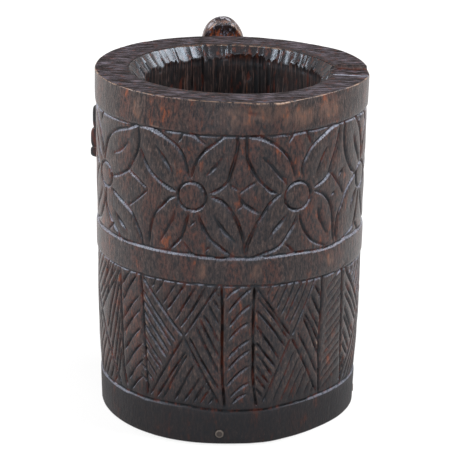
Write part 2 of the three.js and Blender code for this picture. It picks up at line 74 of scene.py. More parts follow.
def around(pairs, azimuth):
    """The value at each azimuth on a smooth closed curve through (azimuth, value) pairs."""
    angles = np.array([pair[0] for pair in pairs], float)
    values = np.array([pair[1] for pair in pairs], float)
    angles = np.concatenate([angles[-2:] - 360, angles, angles[:2] + 360])
    values = np.concatenate([values[-2:], values, values[:2]])
    turn = np.mod(azimuth, 360)
    end = np.searchsorted(angles, turn, side="right")
    start = end - 1
    span = angles[end] - angles[start]
    share = (turn - angles[start]) / span
    leaving = (values[end] - values[start - 1]) / (angles[end] - angles[start - 1]) * span
    arriving = (values[end + 1] - values[start]) / (angles[end + 1] - angles[start]) * span
    square, cube = share ** 2, share ** 3
    return (
        (2 * cube - 3 * square + 1) * values[start]
        + (cube - 2 * square + share) * leaving
        + (3 * square - 2 * cube) * values[end]
        + (cube - square) * arriving
    )


def ripple(azimuth, height, width, length, seed):
    """Smooth unevenness from -1 to 1, in swells of that width round the wall and length up it."""
    count = max(4, round(2 * math.pi * RIM_RADIUS / width))
    lattice = np.random.default_rng(seed).uniform(-1, 1, (count, int(RIM_HEIGHT / length) + 6))
    across = np.mod(azimuth, 360) / 360 * count
    up = height / length + 2
    column = np.floor(across).astype(int)
    row = np.floor(up).astype(int)
    ease_across = smoothstep(across - column, 0, 1)
    ease_up = smoothstep(up - row, 0, 1)
    left, right = column % count, (column + 1) % count
    low = lattice[left, row] * (1 - ease_across) + lattice[right, row] * ease_across
    high = lattice[left, row + 1] * (1 - ease_across) + lattice[right, row + 1] * ease_across
    return low * (1 - ease_up) + high * ease_up


def wall_radius(azimuth, height):
    """The wall's outer radius on a plain band."""
    mean = FOOT_RADIUS + (RIM_RADIUS - FOOT_RADIUS) * height / RIM_HEIGHT
    mean = mean + np.interp(height / RIM_HEIGHT, *WALL_SWELL)
    kept = ERROR_KEPT_BELOW + (1 - ERROR_KEPT_BELOW) * smoothstep(height, FLOWERS_TOP, RIM_HEIGHT)
    near_foot = 1 - smoothstep(height, 0, HATCH_TOP)
    return mean + kept * around(RIM_ERROR, azimuth) + near_foot * around(FOOT_ERROR, azimuth)


def levels(start, end, pitch):
    """Heights of the net's rows from start to just under end."""
    return np.linspace(start, end, max(1, round((end - start) / pitch)) + 1)[:-1]


RIM_ROUNDING_STARTS = 317.5
BORDER_ROOM = 4
heights = np.concatenate([
    levels(0, FOOT_EDGE, 0.3),
    levels(FOOT_EDGE, FOOT_BAND_TOP - BORDER_ROOM, BAND_PITCH),
    levels(FOOT_BAND_TOP - BORDER_ROOM, HATCH_TOP + BORDER_ROOM, PANEL_PITCH),
    levels(HATCH_TOP + BORDER_ROOM, WAIST_TOP - BORDER_ROOM, BAND_PITCH),
    levels(WAIST_TOP - BORDER_ROOM, FLOWERS_TOP + BORDER_ROOM, PANEL_PITCH),
    levels(FLOWERS_TOP + BORDER_ROOM, RIM_ROUNDING_STARTS, BAND_PITCH),
    [RIM_ROUNDING_STARTS],
])
azimuths = np.arange(COLUMNS) * COLUMN_STEP
net_azimuth, net_height = np.meshgrid(azimuths, heights)

# The cuts: V-shaped strokes of a knife or a narrow gouge, 2.5 to 5 mm wide, run in by hand.
# Each is a path of (azimuth, height) points. The wood between them is rounded off towards the cuts.
ROUNDED_OFF = 0.55
ROUNDED_OVER = 3.0
NO_CUT_NEAR = 50.0
CUT_WAVER = 0.18
WAVER_LENGTH = 4.5
END_WIDTH = 0.45
END_CURVE = 0.6
SIDE_CURVE = 1.4
groove = np.zeros(net_azimuth.shape)
clear_of_cuts = np.full(net_azimuth.shape, NO_CUT_NEAR)


def cut_path(points):
    """A smooth path through a cut's points, in mm round and up the wall."""
    turning = np.array(points, float) * (MM_PER_DEGREE, 1)
    if len(turning) == 2:
        return turning
    first = 2 * turning[0] - turning[1]
    last = 2 * turning[-1] - turning[-2]
    padded = np.vstack([first, turning, last])
    path = [turning[0]]
    for before, start, end, after in zip(padded, padded[1:], padded[2:], padded[3:]):
        steps = max(1, round(math.dist(start, end) / 4))
        for share in np.arange(1, steps + 1) / steps:
            path.append(0.5 * (
                2 * start
                + (end - before) * share
                + (2 * before - 5 * start + 4 * end - after) * share ** 2
                + (3 * start - before - 3 * end + after) * share ** 3
            ))
    return np.array(path)


def carve(points, width, depth, run_out):
    """Cuts a groove along a path, shallower and narrower over its run-out at both ends."""
    path = cut_path(points)
    reach = width + 2 * ROUNDED_OVER
    low, high = path.min(0) - reach, path.max(0) + reach
    rows = np.arange(*np.searchsorted(heights, (low[1], high[1])))
    scale = MM_PER_DEGREE * COLUMN_STEP
    columns = np.arange(math.floor(low[0] / scale), math.ceil(high[0] / scale) + 1)
    across, up = np.meshgrid(columns * scale, heights[rows])
    distance = np.full(across.shape, NO_CUT_NEAR)
    along = np.zeros(across.shape)
    travelled = 0.0
    for start, end in zip(path, path[1:]):
        step_across, step_up = end - start
        length = math.hypot(step_across, step_up)
        share = ((across - start[0]) * step_across + (up - start[1]) * step_up) / length ** 2
        share = np.clip(share, 0, 1)
        here = np.hypot(across - start[0] - share * step_across, up - start[1] - share * step_up)
        nearer = here < distance
        distance[nearer] = here[nearer]
        along[nearer] = (travelled + share * length)[nearer]
        travelled += length
    fullness = np.clip(np.minimum(along, travelled - along) / run_out, 0, 1) ** END_CURVE
    unsteady = 1 + CUT_WAVER * np.sin(along / WAVER_LENGTH + points[0][0] * 3)
    half = width / 2 * (END_WIDTH + (1 - END_WIDTH) * fullness)
    shape = np.clip(1 - (distance / half) ** SIDE_CURVE, 0, 1)
    window = np.ix_(rows, columns % COLUMNS)
    groove[window] = np.maximum(groove[window], depth * fullness * unsteady * shape)
    clear_of_cuts[window] = np.minimum(clear_of_cuts[window], np.maximum(distance - half, 0))


def carve_each(paths, cut):
    """Carves several paths with one kind of cut."""
    for points in paths:
        carve(points, **cut)


# The lower panel: columns of slanting cuts, and between them wide fields crossed corner to corner,
# with each triangle of the cross hatched. Cut freehand, so the pitch and the slant wander.
HATCH_WIDTH = 3.3
HATCH_DEPTH = 1.85
HATCH_RUN_OUT = 6
HATCH_SHORT_BY = 0.06
arm_cut = {"width": 3.4, "depth": 1.85, "run_out": 5}
side_cut = {"width": 3.2, "depth": 2.3, "run_out": 4}
slant_cut = {"width": 3.6, "depth": 2.0, "run_out": 6}
narrow_slant_cut = {"width": 2.4, "depth": 0.8, "run_out": 8}
rng = np.random.default_rng(11)


def meeting(point, slope, corner, centre):
    """Where a line through a point, of that slope in mm a degree, meets the arm to the centre."""
    arm_slope = (centre[1] - corner[1]) / (centre[0] - corner[0])
    azimuth = (corner[1] - point[1] + slope * point[0] - arm_slope * corner[0]) / (slope - arm_slope)
    return azimuth, point[1] + slope * (azimuth - point[0])


def hatch(starts, parallel_to, up_to, centre, depth):
    """Cuts from each start, parallel to one arm of the cross, up to another arm, a little bowed."""
    slope = (centre[1] - parallel_to[1]) / (centre[0] - parallel_to[0])
    for start in starts:
        end = meeting(start, slope * rng.uniform(0.9, 1.12), up_to, centre)
        middle = (
            (start[0] + end[0]) / 2 + rng.uniform(-0.25, 0.45),
            (start[1] + end[1]) / 2 + rng.uniform(-0.8, 1.2),
        )
        end = tuple(far + (near - far) * HATCH_SHORT_BY for near, far in zip(start, end))
        carve([start, middle, end], HATCH_WIDTH, depth * rng.uniform(0.85, 1.15), HATCH_RUN_OUT)


def crossed_field(centre, corners, left, right, top, bottom, depths=(1, 1, 1, 1)):
    """A crossed field. left and right give heights along the side lines, top and bottom azimuths."""
    top_left, top_right, bottom_left, bottom_right = corners
    carve_each([[corner, centre] for corner in corners], arm_cut)
    depth = [HATCH_DEPTH * share for share in depths]
    hatch([(top_left[0], z) for z in left], top_left, bottom_left, centre, depth[0])
    hatch([(bottom_right[0] - 0.3, z) for z in right], bottom_right, top_right, centre, depth[1])
    hatch([(az, top_left[1]) for az in top], top_right, top_left, centre, depth[2])
    hatch([(az, bottom_left[1] - 1) for az in bottom], bottom_left, bottom_right, centre, depth[3])


SIDE_LINES = [
    [(-53.6, 150.5), (-52.8, 122), (-52, 102.5), (-51.3, 63), (-48.9, 38.5)],
    [(-40.5, 152), (-39.9, 141), (-39, 121.5), (-38.2, 102), (-37.3, 77), (-36.5, 52.5), (-36.4, 37)],
    [(-2.9, 152), (-2.4, 121), (-2.2, 71.5), (-1, 35)],
    [(10.8, 152), (10.5, 121), (10.7, 91), (11.1, 61), (12.9, 35.5)],
    [(43.8, 151), (43.5, 121.5), (43.4, 86), (44.6, 60.5), (46.1, 35.5)],
    [(57.3, 151.5), (57.6, 122), (58.5, 92), (60.4, 61), (62.9, 35.5)],
]
carve_each(SIDE_LINES, side_cut)

SLANTS = [
    [(-52.2, 135.5), (-46.8, 151)], [(-51.4, 121), (-42.5, 151)], [(-51, 103.5), (-40.8, 132.5)],
    [(-51, 89.5), (-40.1, 119.5)], [(-50.4, 73.5), (-39.8, 102)], [(-49.5, 58.5), (-38.8, 88)],
    [(-47.8, 46.5), (-38.2, 72.5)], [(-46.5, 36.5), (-38.1, 56.5)],
    [(-1, 140), (4.9, 151)], [(0, 127), (9.8, 151)], [(0.5, 114), (9.8, 136)],
    [(0.5, 101.5), (8.8, 119)], [(0, 83.5), (9.7, 103)], [(0, 72.5), (9.8, 93)],
    [(-0.5, 56), (9.8, 78)], [(1, 45), (9.8, 61)], [(2, 39), (8.8, 50)],
]
for low_end, high_end in SLANTS:
    middle = ((low_end[0] + high_end[0]) / 2 - 0.5, (low_end[1] + high_end[1]) / 2 + 1)
    carve([low_end, middle, high_end], **slant_cut)
for height in np.arange(40, 148, 9):
    carve([(46.5, height - 2), (58.5, height + 16 + rng.uniform(-2, 2))], **narrow_slant_cut)

crossed_field(
    (-18.8, 101.5), [(-39.6, 151), (-4.4, 152), (-34.9, 39), (-3.1, 38)],
    left=[139, 130, 122, 110, 100, 89, 80, 68, 58],
    right=[139, 129, 115, 98, 84, 68, 53],
    top=[-32.5, -28.5, -22.5, -18.5, -13.5, -9.5],
    bottom=[-31.5, -28.5, -23, -19, -14.5, -11.5, -8],
)
crossed_field(
    (27.8, 100), [(11.3, 152), (40, 152), (15.4, 39.5), (44, 38.5)],
    left=[144, 131, 117, 101, 91, 80, 69, 57],
    right=[129, 112, 98, 86, 74, 56],
    top=[18, 22, 25.5, 29, 33, 36],
    bottom=[20, 24, 28, 32, 36.5, 40.5],
    depths=(1.05, 1.05, 0.7, 0.7),
)

# The field at the left edge of the carved front is hatched in a fan instead
FAN = [
    [(-54.8, 150.5), (-57.6, 131), (-62.1, 103.5), (-64.6, 86)],
    [(-54.3, 137.5), (-57.1, 114.5), (-61.3, 89.5), (-63, 75.5)],
    [(-53.7, 123), (-56, 100.5), (-59.5, 77), (-61.3, 63.5)],
    [(-53.2, 106.5), (-55.1, 87), (-57.7, 65), (-59.8, 53)],
    [(-52.8, 90.5), (-54.6, 71), (-57, 53), (-58.2, 44.5)], [(-52.6, 74.5), (-54.2, 57), (-55.9, 44.5)],
    [(-58.9, 151.5), (-62.9, 132.5), (-66.2, 112)], [(-63.4, 152), (-67, 135), (-69.3, 120.5)],
]
carve_each(FAN, {"width": 2.8, "depth": 1.8, "run_out": 7})

# Round the sides and the back the same two patterns go on, with four more columns
COLUMN_SPAN = 14.5
FIELD_SPAN = 37.7
start = 60.0
for field in range(5):
    end = start + FIELD_SPAN
    corners = [(start, 150), (end, 150), (start + 1, 37), (end, 37)]
    centre = ((start + end) / 2, 98.3)
    first = field == 0
    last = field == 4
    crossed_field(
        centre, corners,
        left=[148, 136, 126, 113, 104, 90, 78, 67, 60] if first else np.arange(140, 50, -10.5),
        right=[] if last else np.arange(134, 50, -12),
        top=np.arange(start + 7, end - 3, 4.6),
        bottom=np.arange(start + 5, end - 5, 4.4),
    )
    if not last:
        for side in (end, end + COLUMN_SPAN):
            middle = (side + rng.uniform(-0.6, 0.6), 95)
            carve([(side, 150), middle, (side + 0.4, 36)], width=3.2, depth=2.2, run_out=4)
        for height in np.arange(36, 140, 13):
            low_end = (end + 1.2, height)
            high_end = (end + COLUMN_SPAN - 1.2, min(150, height + 25 + rng.uniform(-3, 3)))
            carve([low_end, high_end], width=3.1, depth=1.5, run_out=6)
    start = end + COLUMN_SPAN

# The upper panel: a row of four-petal flowers, each with a round eye and a vein cut in each petal,
# and short corner and diamond cuts where two flowers meet. The petals' outlines are V cuts 4 mm
# wide, and the veins are a little wider and die out at their ends.
EYES = [(-65.4, 233, 5.9, 11.5), (-15.8, 233.5, 6.1, 13), (29.1, 232.5, 6.2, 13), (72.3, 232.5, 5.5, 12)]
LEFT_OF_FLOWER = [
    [(6.7, 290.5), (6.6, 280.5), (6.9, 270.5), (8.4, 262.5),
     (10.9, 252.5), (13.8, 245.5), (16.8, 239.5), (20.7, 236.5)],
    [(7.9, 290), (11.9, 288.5), (15.9, 284.5), (18.8, 280.5),
     (22.7, 272.5), (25.2, 264.5), (26.7, 257.5), (27.4, 249.5)],
    [(21.7, 237.5), (18.3, 232.5), (15.8, 226.5), (13.3, 217.5),
     (10.8, 208.5), (8.9, 199.5), (7.4, 190.5), (7.1, 180.5)],
    [(28.6, 216.5), (28.1, 209.5), (26.6, 203.5), (24.6, 197.5),
     (21.6, 189.5), (18.7, 185.5), (13.8, 182), (9.8, 179.5)],
]
RIGHT_OF_FLOWER = [
    [(30.6, 249.5), (31.1, 260.5), (32.6, 266.5), (34.6, 273.5),
     (37.5, 279), (41.5, 283.5), (46.4, 288.5), (49.4, 290)],
    [(51.8, 288.5), (50.7, 276.5), (49.1, 266.5), (47.6, 259.5),
     (46.2, 252.5), (45.7, 247.5), (43.2, 242.5), (36.4, 236.5)],
    [(36.4, 235), (41.3, 230.5), (44.1, 226), (46.5, 220),
     (48, 212), (48.9, 201), (49.3, 191), (49.8, 181)],
    [(30, 217.5), (31, 207.5), (33.4, 197.5), (36.3, 189.5), (40.2, 184), (45, 180)],
]
LEFT_VEINS = [
    [(12.9, 271.5), (16.8, 262.5), (19.8, 254.5), (24.2, 243.5)],
    [(24.6, 218.5), (20.7, 208.5), (17.7, 201.5), (15.8, 194.5)],
]
RIGHT_VEINS = [
    [(44.3, 272.5), (41.3, 262.5), (39.4, 254.5), (37.9, 249.5)],
    [(39.6, 219.5), (40.7, 209), (43.1, 199), (45.3, 191)],
]
CORNERS = [
    [(26.8, 290.5), (23.8, 281.5)], [(32.2, 290.5), (33.6, 284.5), (35.1, 277.5)],
    [(23.1, 191.5), (25.6, 185.5), (28.5, 179.5)],
]
BETWEEN = [
    [(45.7, 248.5), (48.1, 244), (50.9, 237), (53.8, 230), (55.6, 223)],
    [(47, 225), (50, 229)], [(51.4, 240), (54.8, 248)],
]
TEMPLATE_AZIMUTH = 29.1
TEMPLATE_PITCH = 45.8
FLOWER_PITCH = 44.5
UNSTEADY = 0.5
petal_cut = {"width": 4.0, "depth": 2.0, "run_out": 8}
vein_cut = {"width": 4.9, "depth": 2.0, "run_out": 14}
eye_cut = {"width": 3.5, "depth": 1.85, "run_out": 0.5}
corner_cut = {"width": 3.4, "depth": 1.5, "run_out": 5}
mark_cut = {"width": 3.3, "depth": 1.5, "run_out": 5}


def eye(azimuth, height, half_span, half_height):
    """The round eye of a flower, cut as one closed ring."""
    turn = np.linspace(0, 2 * math.pi, 17) + 0.4
    ring = [(azimuth + half_span * math.cos(a), height + half_height * math.sin(a)) for a in turn]
    carve(ring, **eye_cut)


def moved(cuts, azimuth):
    """The same cuts at another flower, each point strayed a little as a hand would."""
    stretch = FLOWER_PITCH / TEMPLATE_PITCH
    away = rng.uniform(-UNSTEADY, UNSTEADY)
    for points in cuts:
        strayed = []
        for az, z in points:
            az = azimuth + (az - TEMPLATE_AZIMUTH) * stretch + away
            az += 0.3 * rng.uniform(-UNSTEADY, UNSTEADY)
            strayed.append((az, z + rng.uniform(-UNSTEADY, UNSTEADY)))
        yield strayed


for ring in EYES:
    eye(*ring)
carve_each(LEFT_OF_FLOWER + RIGHT_OF_FLOWER, petal_cut)
carve_each(LEFT_VEINS + RIGHT_VEINS, vein_cut)
carve_each(CORNERS + BETWEEN, corner_cut)

# The flower left of the middle and its neighbours' halves
NEAR_LEFT_PETALS = [
    [(-40.8, 272.5), (-38.5, 262.5), (-35.5, 252.5), (-31.6, 245.5), (-27.6, 240.5), (-21.7, 235.5)],
    [(-35.7, 290.5), (-30.7, 287.5), (-26.8, 283.5),
     (-22.8, 278.5), (-19.8, 270.5), (-18.1, 260.5), (-17.1, 249.5)],
    [(-16.3, 248.5), (-15.3, 257.5), (-13.8, 265.5), (-10.9, 274.5), (-6.9, 281.5), (-2, 290)],
    [(2.5, 290), (3, 282.5), (2, 270.5), (0.5, 258.5), (-1, 248.5), (-4.9, 240.5), (-9.4, 236.5)],
    [(-8.9, 235.5), (-3, 230.5), (0, 223.5), (2, 217.5),
     (3.9, 208.5), (5.4, 198.5), (6.4, 188.5), (6.9, 179.5)],
    [(-13.1, 219.5), (-12.3, 212.5), (-10.3, 203.5),
     (-7.9, 195.5), (-3.9, 188.5), (-1, 183.5), (2, 179.5)],
    [(-21.7, 232.5), (-25.6, 229.5), (-28.6, 222.5),
     (-32.5, 213.5), (-34.4, 203.5), (-35.4, 192.5), (-35.8, 181)],
    [(-16.8, 219.5), (-18.2, 209.5), (-19.2, 200.5), (-20.7, 193.5), (-23.6, 186.5), (-26.1, 180.5)],
]
NEAR_LEFT_VEINS = [
    [(-32.6, 276.5), (-29.6, 268.5), (-26.7, 260.5), (-23.7, 251.5)],
    [(-3, 271.5), (-5.9, 262.5), (-9.9, 252.5)],
    [(-6.9, 218.5), (-3.9, 208.5), (-1, 200.5), (3.3, 192.5)],
    [(-23, 220.5), (-24.1, 211.5), (-26.6, 201.5), (-30.5, 186.5)],
]
NEAR_LEFT_MARKS = [
    [(-19.4, 290.5), (-21.8, 280.5)], [(-16.4, 291), (-12.9, 285.5), (-9.4, 280.5)],
    [(-13.3, 213.5), (-16.8, 205.5)], [(-19.7, 191.5), (-17.2, 184.5), (-15.6, 179.5)],
    [(-7.9, 189.5), (-9.8, 183.5)], [(-1, 248), (1, 244.5), (4.2, 240.5)],
    [(10.9, 249), (6.9, 243.5), (3.3, 237)], [(3, 223), (6.4, 229.5)],
]
FAR_LEFT_PETALS = [
    [(-65.9, 245.5), (-66, 251.5), (-62.5, 268), (-58.9, 275),
     (-54.2, 280.5), (-47.4, 285), (-41.6, 290.5)],
    [(-60, 235), (-55.8, 237), (-51, 242), (-47.7, 246.5),
     (-44.3, 256.5), (-41.9, 266.5), (-40.8, 277.5), (-41.6, 290.5)],
    [(-59.9, 223), (-53.8, 217), (-49, 212.5), (-45.1, 207), (-42.7, 199), (-40.2, 189), (-38.8, 180)],
    [(-64.9, 220.5), (-65.7, 206.5), (-63, 197.5), (-58.3, 188.5), (-52.7, 180)],
]
FAR_LEFT_VEINS = [
    [(-57.8, 257), (-53, 261.5), (-49.2, 268.5), (-46.6, 273.5)],
    [(-57, 202), (-52.3, 194), (-48.4, 189)],
]
FAR_LEFT_MARKS = [
    [(-58.4, 190.5), (-63.8, 181.5)], [(-68.4, 289), (-70, 281)],
    [(-48.2, 248), (-41.3, 240.5), (-35.8, 233.5)], [(-35.8, 234), (-41.3, 223.5), (-48, 212.5)],
]
carve_each(NEAR_LEFT_PETALS + FAR_LEFT_PETALS, petal_cut)
carve_each(NEAR_LEFT_VEINS + FAR_LEFT_VEINS, vein_cut)
carve_each(NEAR_LEFT_MARKS + FAR_LEFT_MARKS, mark_cut)
carve([(3.5, 237.5), (5.4, 229.5), (7.9, 225.5), (12.6, 219)], width=4.2, depth=2.0, run_out=7)

FAR_RIGHT_PETALS = [
    [(55.2, 290.5), (55.1, 278.5), (55.4, 269), (56.8, 258), (59.1, 250), (62.3, 242), (66.7, 236.5)],
    [(63.8, 291), (68.2, 281), (70.4, 269.5), (71.8, 257), (72, 245.5)],
    [(67.6, 237.5), (61.3, 231), (57.5, 223), (54.7, 213),
     (52.7, 207), (51.8, 201), (51.2, 191), (51.7, 180)],
    [(70.7, 219.5), (68.1, 200), (66.4, 190), (63.7, 184.5), (56.4, 180.5)],
]
FAR_RIGHT_VEINS = [
    [(62.6, 275), (65.1, 263), (67.7, 253.5), (69.3, 246)],
    [(68.3, 223), (64.8, 214.5), (62.1, 205.5)],
]
carve_each(FAR_RIGHT_PETALS, petal_cut)
carve_each(FAR_RIGHT_VEINS, vein_cut)

# Round the sides and the back there are four more flowers, one of them under the lug
HIDDEN_FLOWERS = [116.8, 161.3, 205.7, 250.2]
for azimuth in HIDDEN_FLOWERS:
    eye(azimuth, 232 + rng.uniform(-1.5, 1.5), 6.2, 12.5)
for azimuth in HIDDEN_FLOWERS + [72.3]:
    carve_each(moved(RIGHT_OF_FLOWER, azimuth), petal_cut)
    carve_each(moved(RIGHT_VEINS, azimuth), vein_cut)
    carve_each(moved(CORNERS + BETWEEN, azimuth), corner_cut)
for azimuth in HIDDEN_FLOWERS + [294.6]:
    carve_each(moved(LEFT_OF_FLOWER, azimuth), petal_cut)
    carve_each(moved(LEFT_VEINS, azimuth), vein_cut)

# The four borders, where a panel was cut back from a band. Each is a V groove about 4 mm wide that
# wanders up and down by about a millimetre, under or over a band edge worn round by handling.
BORDERS = [
    [(0, 30.8), (30, 32.1), (56, 32.6), (110, 31.5),
     (180, 32.5), (250, 31.5), (322, 33.2), (341, 33.9)],
    [(0, 154.2), (24, 153.5), (44, 152.4), (90, 152), (180, 153), (260, 152.4), (307, 153.4)],
    [(0, 177.1), (25, 178.7), (44, 176), (58, 178.4), (130, 176.5), (220, 177.6), (302, 178.4),
     (340, 178.7)],
    [(0, 290.8), (49, 291.5), (120, 290), (200, 291), (280, 290.4), (330, 291.1)],
]
BORDER_WANDER = 0.35
BORDER_SHAPE = ([-1.6, -0.7, 0, 1.1, 3.3, 5.0], [0, 0.12, 0.5, 2.2, 1.0, PANEL_DEPTH])
border_lines = []
for seed, wander in enumerate(BORDERS):
    unevenness = BORDER_WANDER * ripple(azimuths, 0 * azimuths, 9, 40, seed)
    border_lines.append(around(wander, azimuths) + unevenness)
lowered = np.zeros(net_azimuth.shape)
for bottom, top in ((0, 1), (2, 3)):
    above_bottom = net_height - border_lines[bottom]
    below_top = border_lines[top] - net_height
    edge = np.minimum(above_bottom, below_top)
    lowered += np.interp(edge, *BORDER_SHAPE)
rounded = ROUNDED_OFF * np.exp(-clear_of_cuts / ROUNDED_OVER)
broad_swells = ripple(net_azimuth, net_height, 26, 60, 21)
narrow_swells = ripple(net_azimuth, net_height, 7, 45, 22)
uneven = 0.25 + 0.13 * broad_swells + 0.07 * narrow_swells
foot_rounding = FOOT_EDGE * (1 - np.sqrt(1 - np.clip(1 - net_height / FOOT_EDGE, 0, 1) ** 2))

# A flake about 35 mm long has broken off the front of the rim band, right of the middle
FLAKE_AZIMUTH = 15
FLAKE_HEIGHT = 311
FLAKE_DEPTH = 0.7
flake_line = np.hypot((net_azimuth - FLAKE_AZIMUTH) / 8.5, (net_height - FLAKE_HEIGHT) / 7)
flake_line += 0.22 * ripple(net_azimuth, net_height, 8, 6, 23)
flake = FLAKE_DEPTH * smoothstep(-flake_line, -1.05, -0.8)
outer_radius = wall_radius(net_azimuth, net_height)
for taken_off in (lowered, groove, rounded, uneven, foot_rounding, flake):
    outer_radius = outer_radius - taken_off

# The rim and the mouth: the rim is sawn and pared flat. Below the mouth the wood was hollowed out
# with a broad gouge, which left a ring of glossy scoops with arched lower ends.
MOUTH_RADIUS = 91.0
MOUTH_ERROR = [
    (0, 0.5), (27, 5), (60, 1.5), (95, 1.5), (112, -2.5),
    (140, -4.5), (180, -4), (225, 1), (290, 1.5), (335, 0),
]
MOUTH_EDGE = 0.6
BORE_RADIUS = 82.0
rim_top_radius = outer_radius[-1]
rim_edge = 1.0 + 0.7 * np.clip(ripple(azimuths, 0 * azimuths, 14, 40, 31), 0, 1)
rim_edge += 0.9 * np.clip(ripple(azimuths, 0 * azimuths, 5, 40, 32) - 0.35, 0, 1)
rings = []
for angle in np.radians([0, 25, 50, 72, 90]):
    radius = rim_top_radius - rim_edge * (1 - math.cos(angle))
    rings.append((radius, RIM_HEIGHT - rim_edge * (1 - math.sin(angle))))


def scoops(azimuth, width, seed):
    """Gouge cuts side by side: which one each azimuth lies in, and where across it from -1 to 1."""
    draw = np.random.default_rng(seed)
    widths = draw.uniform(0.35, 1.65, round(360 / width))
    ends = np.cumsum(widths) / widths.sum() * 360
    index = np.searchsorted(ends, azimuth, side="right")
    index = np.minimum(index, len(ends) - 1)
    spans = np.diff(np.concatenate([[0], ends]))
    return index, 1 - 2 * (ends[index] - azimuth) / spans[index]


SCOOP_SPAN = 6.2
FLUTE_SPAN = 4.2
FLUTE_SEED = 51
STROKES = 16
STROKE_LENGTHS = (15, 60)
STROKE_DEPTHS = (0.2, 1.8)
scoop, scoop_share = scoops(azimuths, SCOOP_SPAN, 41)
draw = np.random.default_rng(42)
mouth_radius = MOUTH_RADIUS + around(MOUTH_ERROR, azimuths)
slope_width = mouth_radius - BORE_RADIUS
scoop_reach = draw.uniform(0.75, 1.35, scoop.max() + 1)[scoop] * (5 + 0.75 * slope_width)
scoop_hollow = draw.uniform(0.4, 1.5, scoop.max() + 1)[scoop] * (1 - scoop_share ** 2)


def flutes(azimuth, depth, seed):
    """How deep the long gouge cut down the hollow, at azimuths and depths below the rim."""
    which, share = scoops(azimuth, FLUTE_SPAN, seed)
    draw = np.random.default_rng(seed + 1)
    cut = np.zeros((len(depth), len(azimuth)))
    for flute in range(which.max() + 1):
        inside = which == flute
        breaks = np.cumsum(draw.uniform(*STROKE_LENGTHS, STROKES))
        breaks = breaks - draw.uniform(0, STROKE_LENGTHS[1])
        bites = draw.uniform(*STROKE_DEPTHS, STROKES + 1)
        at = np.searchsorted(breaks, depth)
        upper = np.concatenate([[-STROKE_LENGTHS[1]], breaks])[at]
        bite = bites[at] * (0.55 + 0.45 * np.clip((depth - upper) / 25, 0, 1))
        cut[:, inside] = bite[:, None] * (1 - share[inside] ** 2)
    return cut


mouth_depths = np.concatenate([np.linspace(0, 3, 4), np.linspace(4, 19, 15)])
mouth_flutes = flutes(azimuths, mouth_depths, FLUTE_SEED)
rim_inner = mouth_radius + 0.5 * scoop_hollow + MOUTH_EDGE
rim_outer = rings[-1][0]
for share in np.linspace(0, 1, 12)[1:-1]:
    radius = rim_outer + (rim_inner - rim_outer) * share
    sawn = 0.12 * ripple(azimuths, radius, 9, 12, 33) - 0.14
    rings.append((radius, RIM_HEIGHT + sawn))
rings.append((rim_inner, RIM_HEIGHT - 0.15 + 0 * azimuths))
for depth, flute in zip(mouth_depths, mouth_flutes):
    cone = mouth_radius - slope_width * np.clip(depth / scoop_reach, 0, 2)
    cone += scoop_hollow * (0.5 + 0.5 * min(1, depth / 6))
    bore = BORE_RADIUS + flute
    rings.append((np.maximum(cone, bore), RIM_HEIGHT - 0.5 - depth + 0 * azimuths))

# The hollow: gouged down from the mouth to the underside in strokes 4 to 8 mm wide
bore_azimuths = azimuths[::2]
bore_depths = np.concatenate([np.arange(22, 312, 3), [316, RIM_HEIGHT]])
bore_rings = [
    (BORE_RADIUS + flute, RIM_HEIGHT - depth + 0 * bore_azimuths)
    for depth, flute in zip(bore_depths, flutes(azimuths, bore_depths, FLUTE_SEED)[:, ::2])
]


def ring_points(azimuth, radius, height):
    """Points at azimuths, distances from the pot's axis and heights."""
    angle = np.radians(azimuth)
    return np.column_stack([radius * np.sin(angle), -radius * np.cos(angle), height])


outside = [(radius, height + 0 * azimuths) for radius, height in zip(outer_radius, heights)]
full_rings = [ring_points(azimuths, *ring) for ring in outside + rings]
half_rings = [ring_points(bore_azimuths, *ring) for ring in bore_rings]
points = np.vstack(full_rings + half_rings)


def strips(first, count, rows):
    """Two triangles between each four neighbouring points of a stack of closed rings."""
    row, column = np.meshgrid(np.arange(rows - 1), np.arange(count), indexing="ij")
    near = first + row * count + column
    beside = first + row * count + (column + 1) % count
    return np.concatenate([
        np.stack([near, beside, beside + count], -1).reshape(-1, 3),
        np.stack([near, beside + count, near + count], -1).reshape(-1, 3),
    ])


def ring_to_half(full_first, half_first, turned):
    """Joins a full ring to one with half as many points."""
    half = np.arange(COLUMNS // 2)
    half_next = (half + 1) % (COLUMNS // 2)
    a = full_first + 2 * half
    b = a + 1
    c = full_first + (2 * half + 2) % COLUMNS
    low, high = half_first + half, half_first + half_next
    faces = np.concatenate([
        np.stack([a, b, low], -1), np.stack([b, high, low], -1), np.stack([b, c, high], -1),
    ])
    return faces[:, ::-1] if turned else faces


half_first = len(full_rings) * COLUMNS
faces = np.concatenate([
    strips(0, COLUMNS, len(full_rings)),
    ring_to_half((len(full_rings) - 1) * COLUMNS, half_first, False),
    strips(half_first, COLUMNS // 2, len(half_rings)),
    ring_to_half(0, half_first + (len(half_rings) - 1) * COLUMNS // 2, True),
])


def mesh_object(name, points, faces):
    """An object from points in millimetres and triangles."""
    mesh = bpy.data.meshes.new(name)
    mesh.vertices.add(len(points))
    mesh.vertices.foreach_set("co", (np.asarray(points) * 0.001).astype(np.float32).ravel())
    mesh.loops.add(3 * len(faces))
    mesh.loops.foreach_set("vertex_index", np.asarray(faces, np.int32).ravel())
    mesh.polygons.add(len(faces))
    mesh.polygons.foreach_set("loop_start", np.arange(0, 3 * len(faces), 3, dtype=np.int32))
    mesh.update(calc_edges=True)
    mesh.validate()
    shown = bpy.data.objects.new(name, mesh)
    bpy.context.scene.collection.objects.link(shown)
    return shown


pot = mesh_object("carved_pot", points, faces)

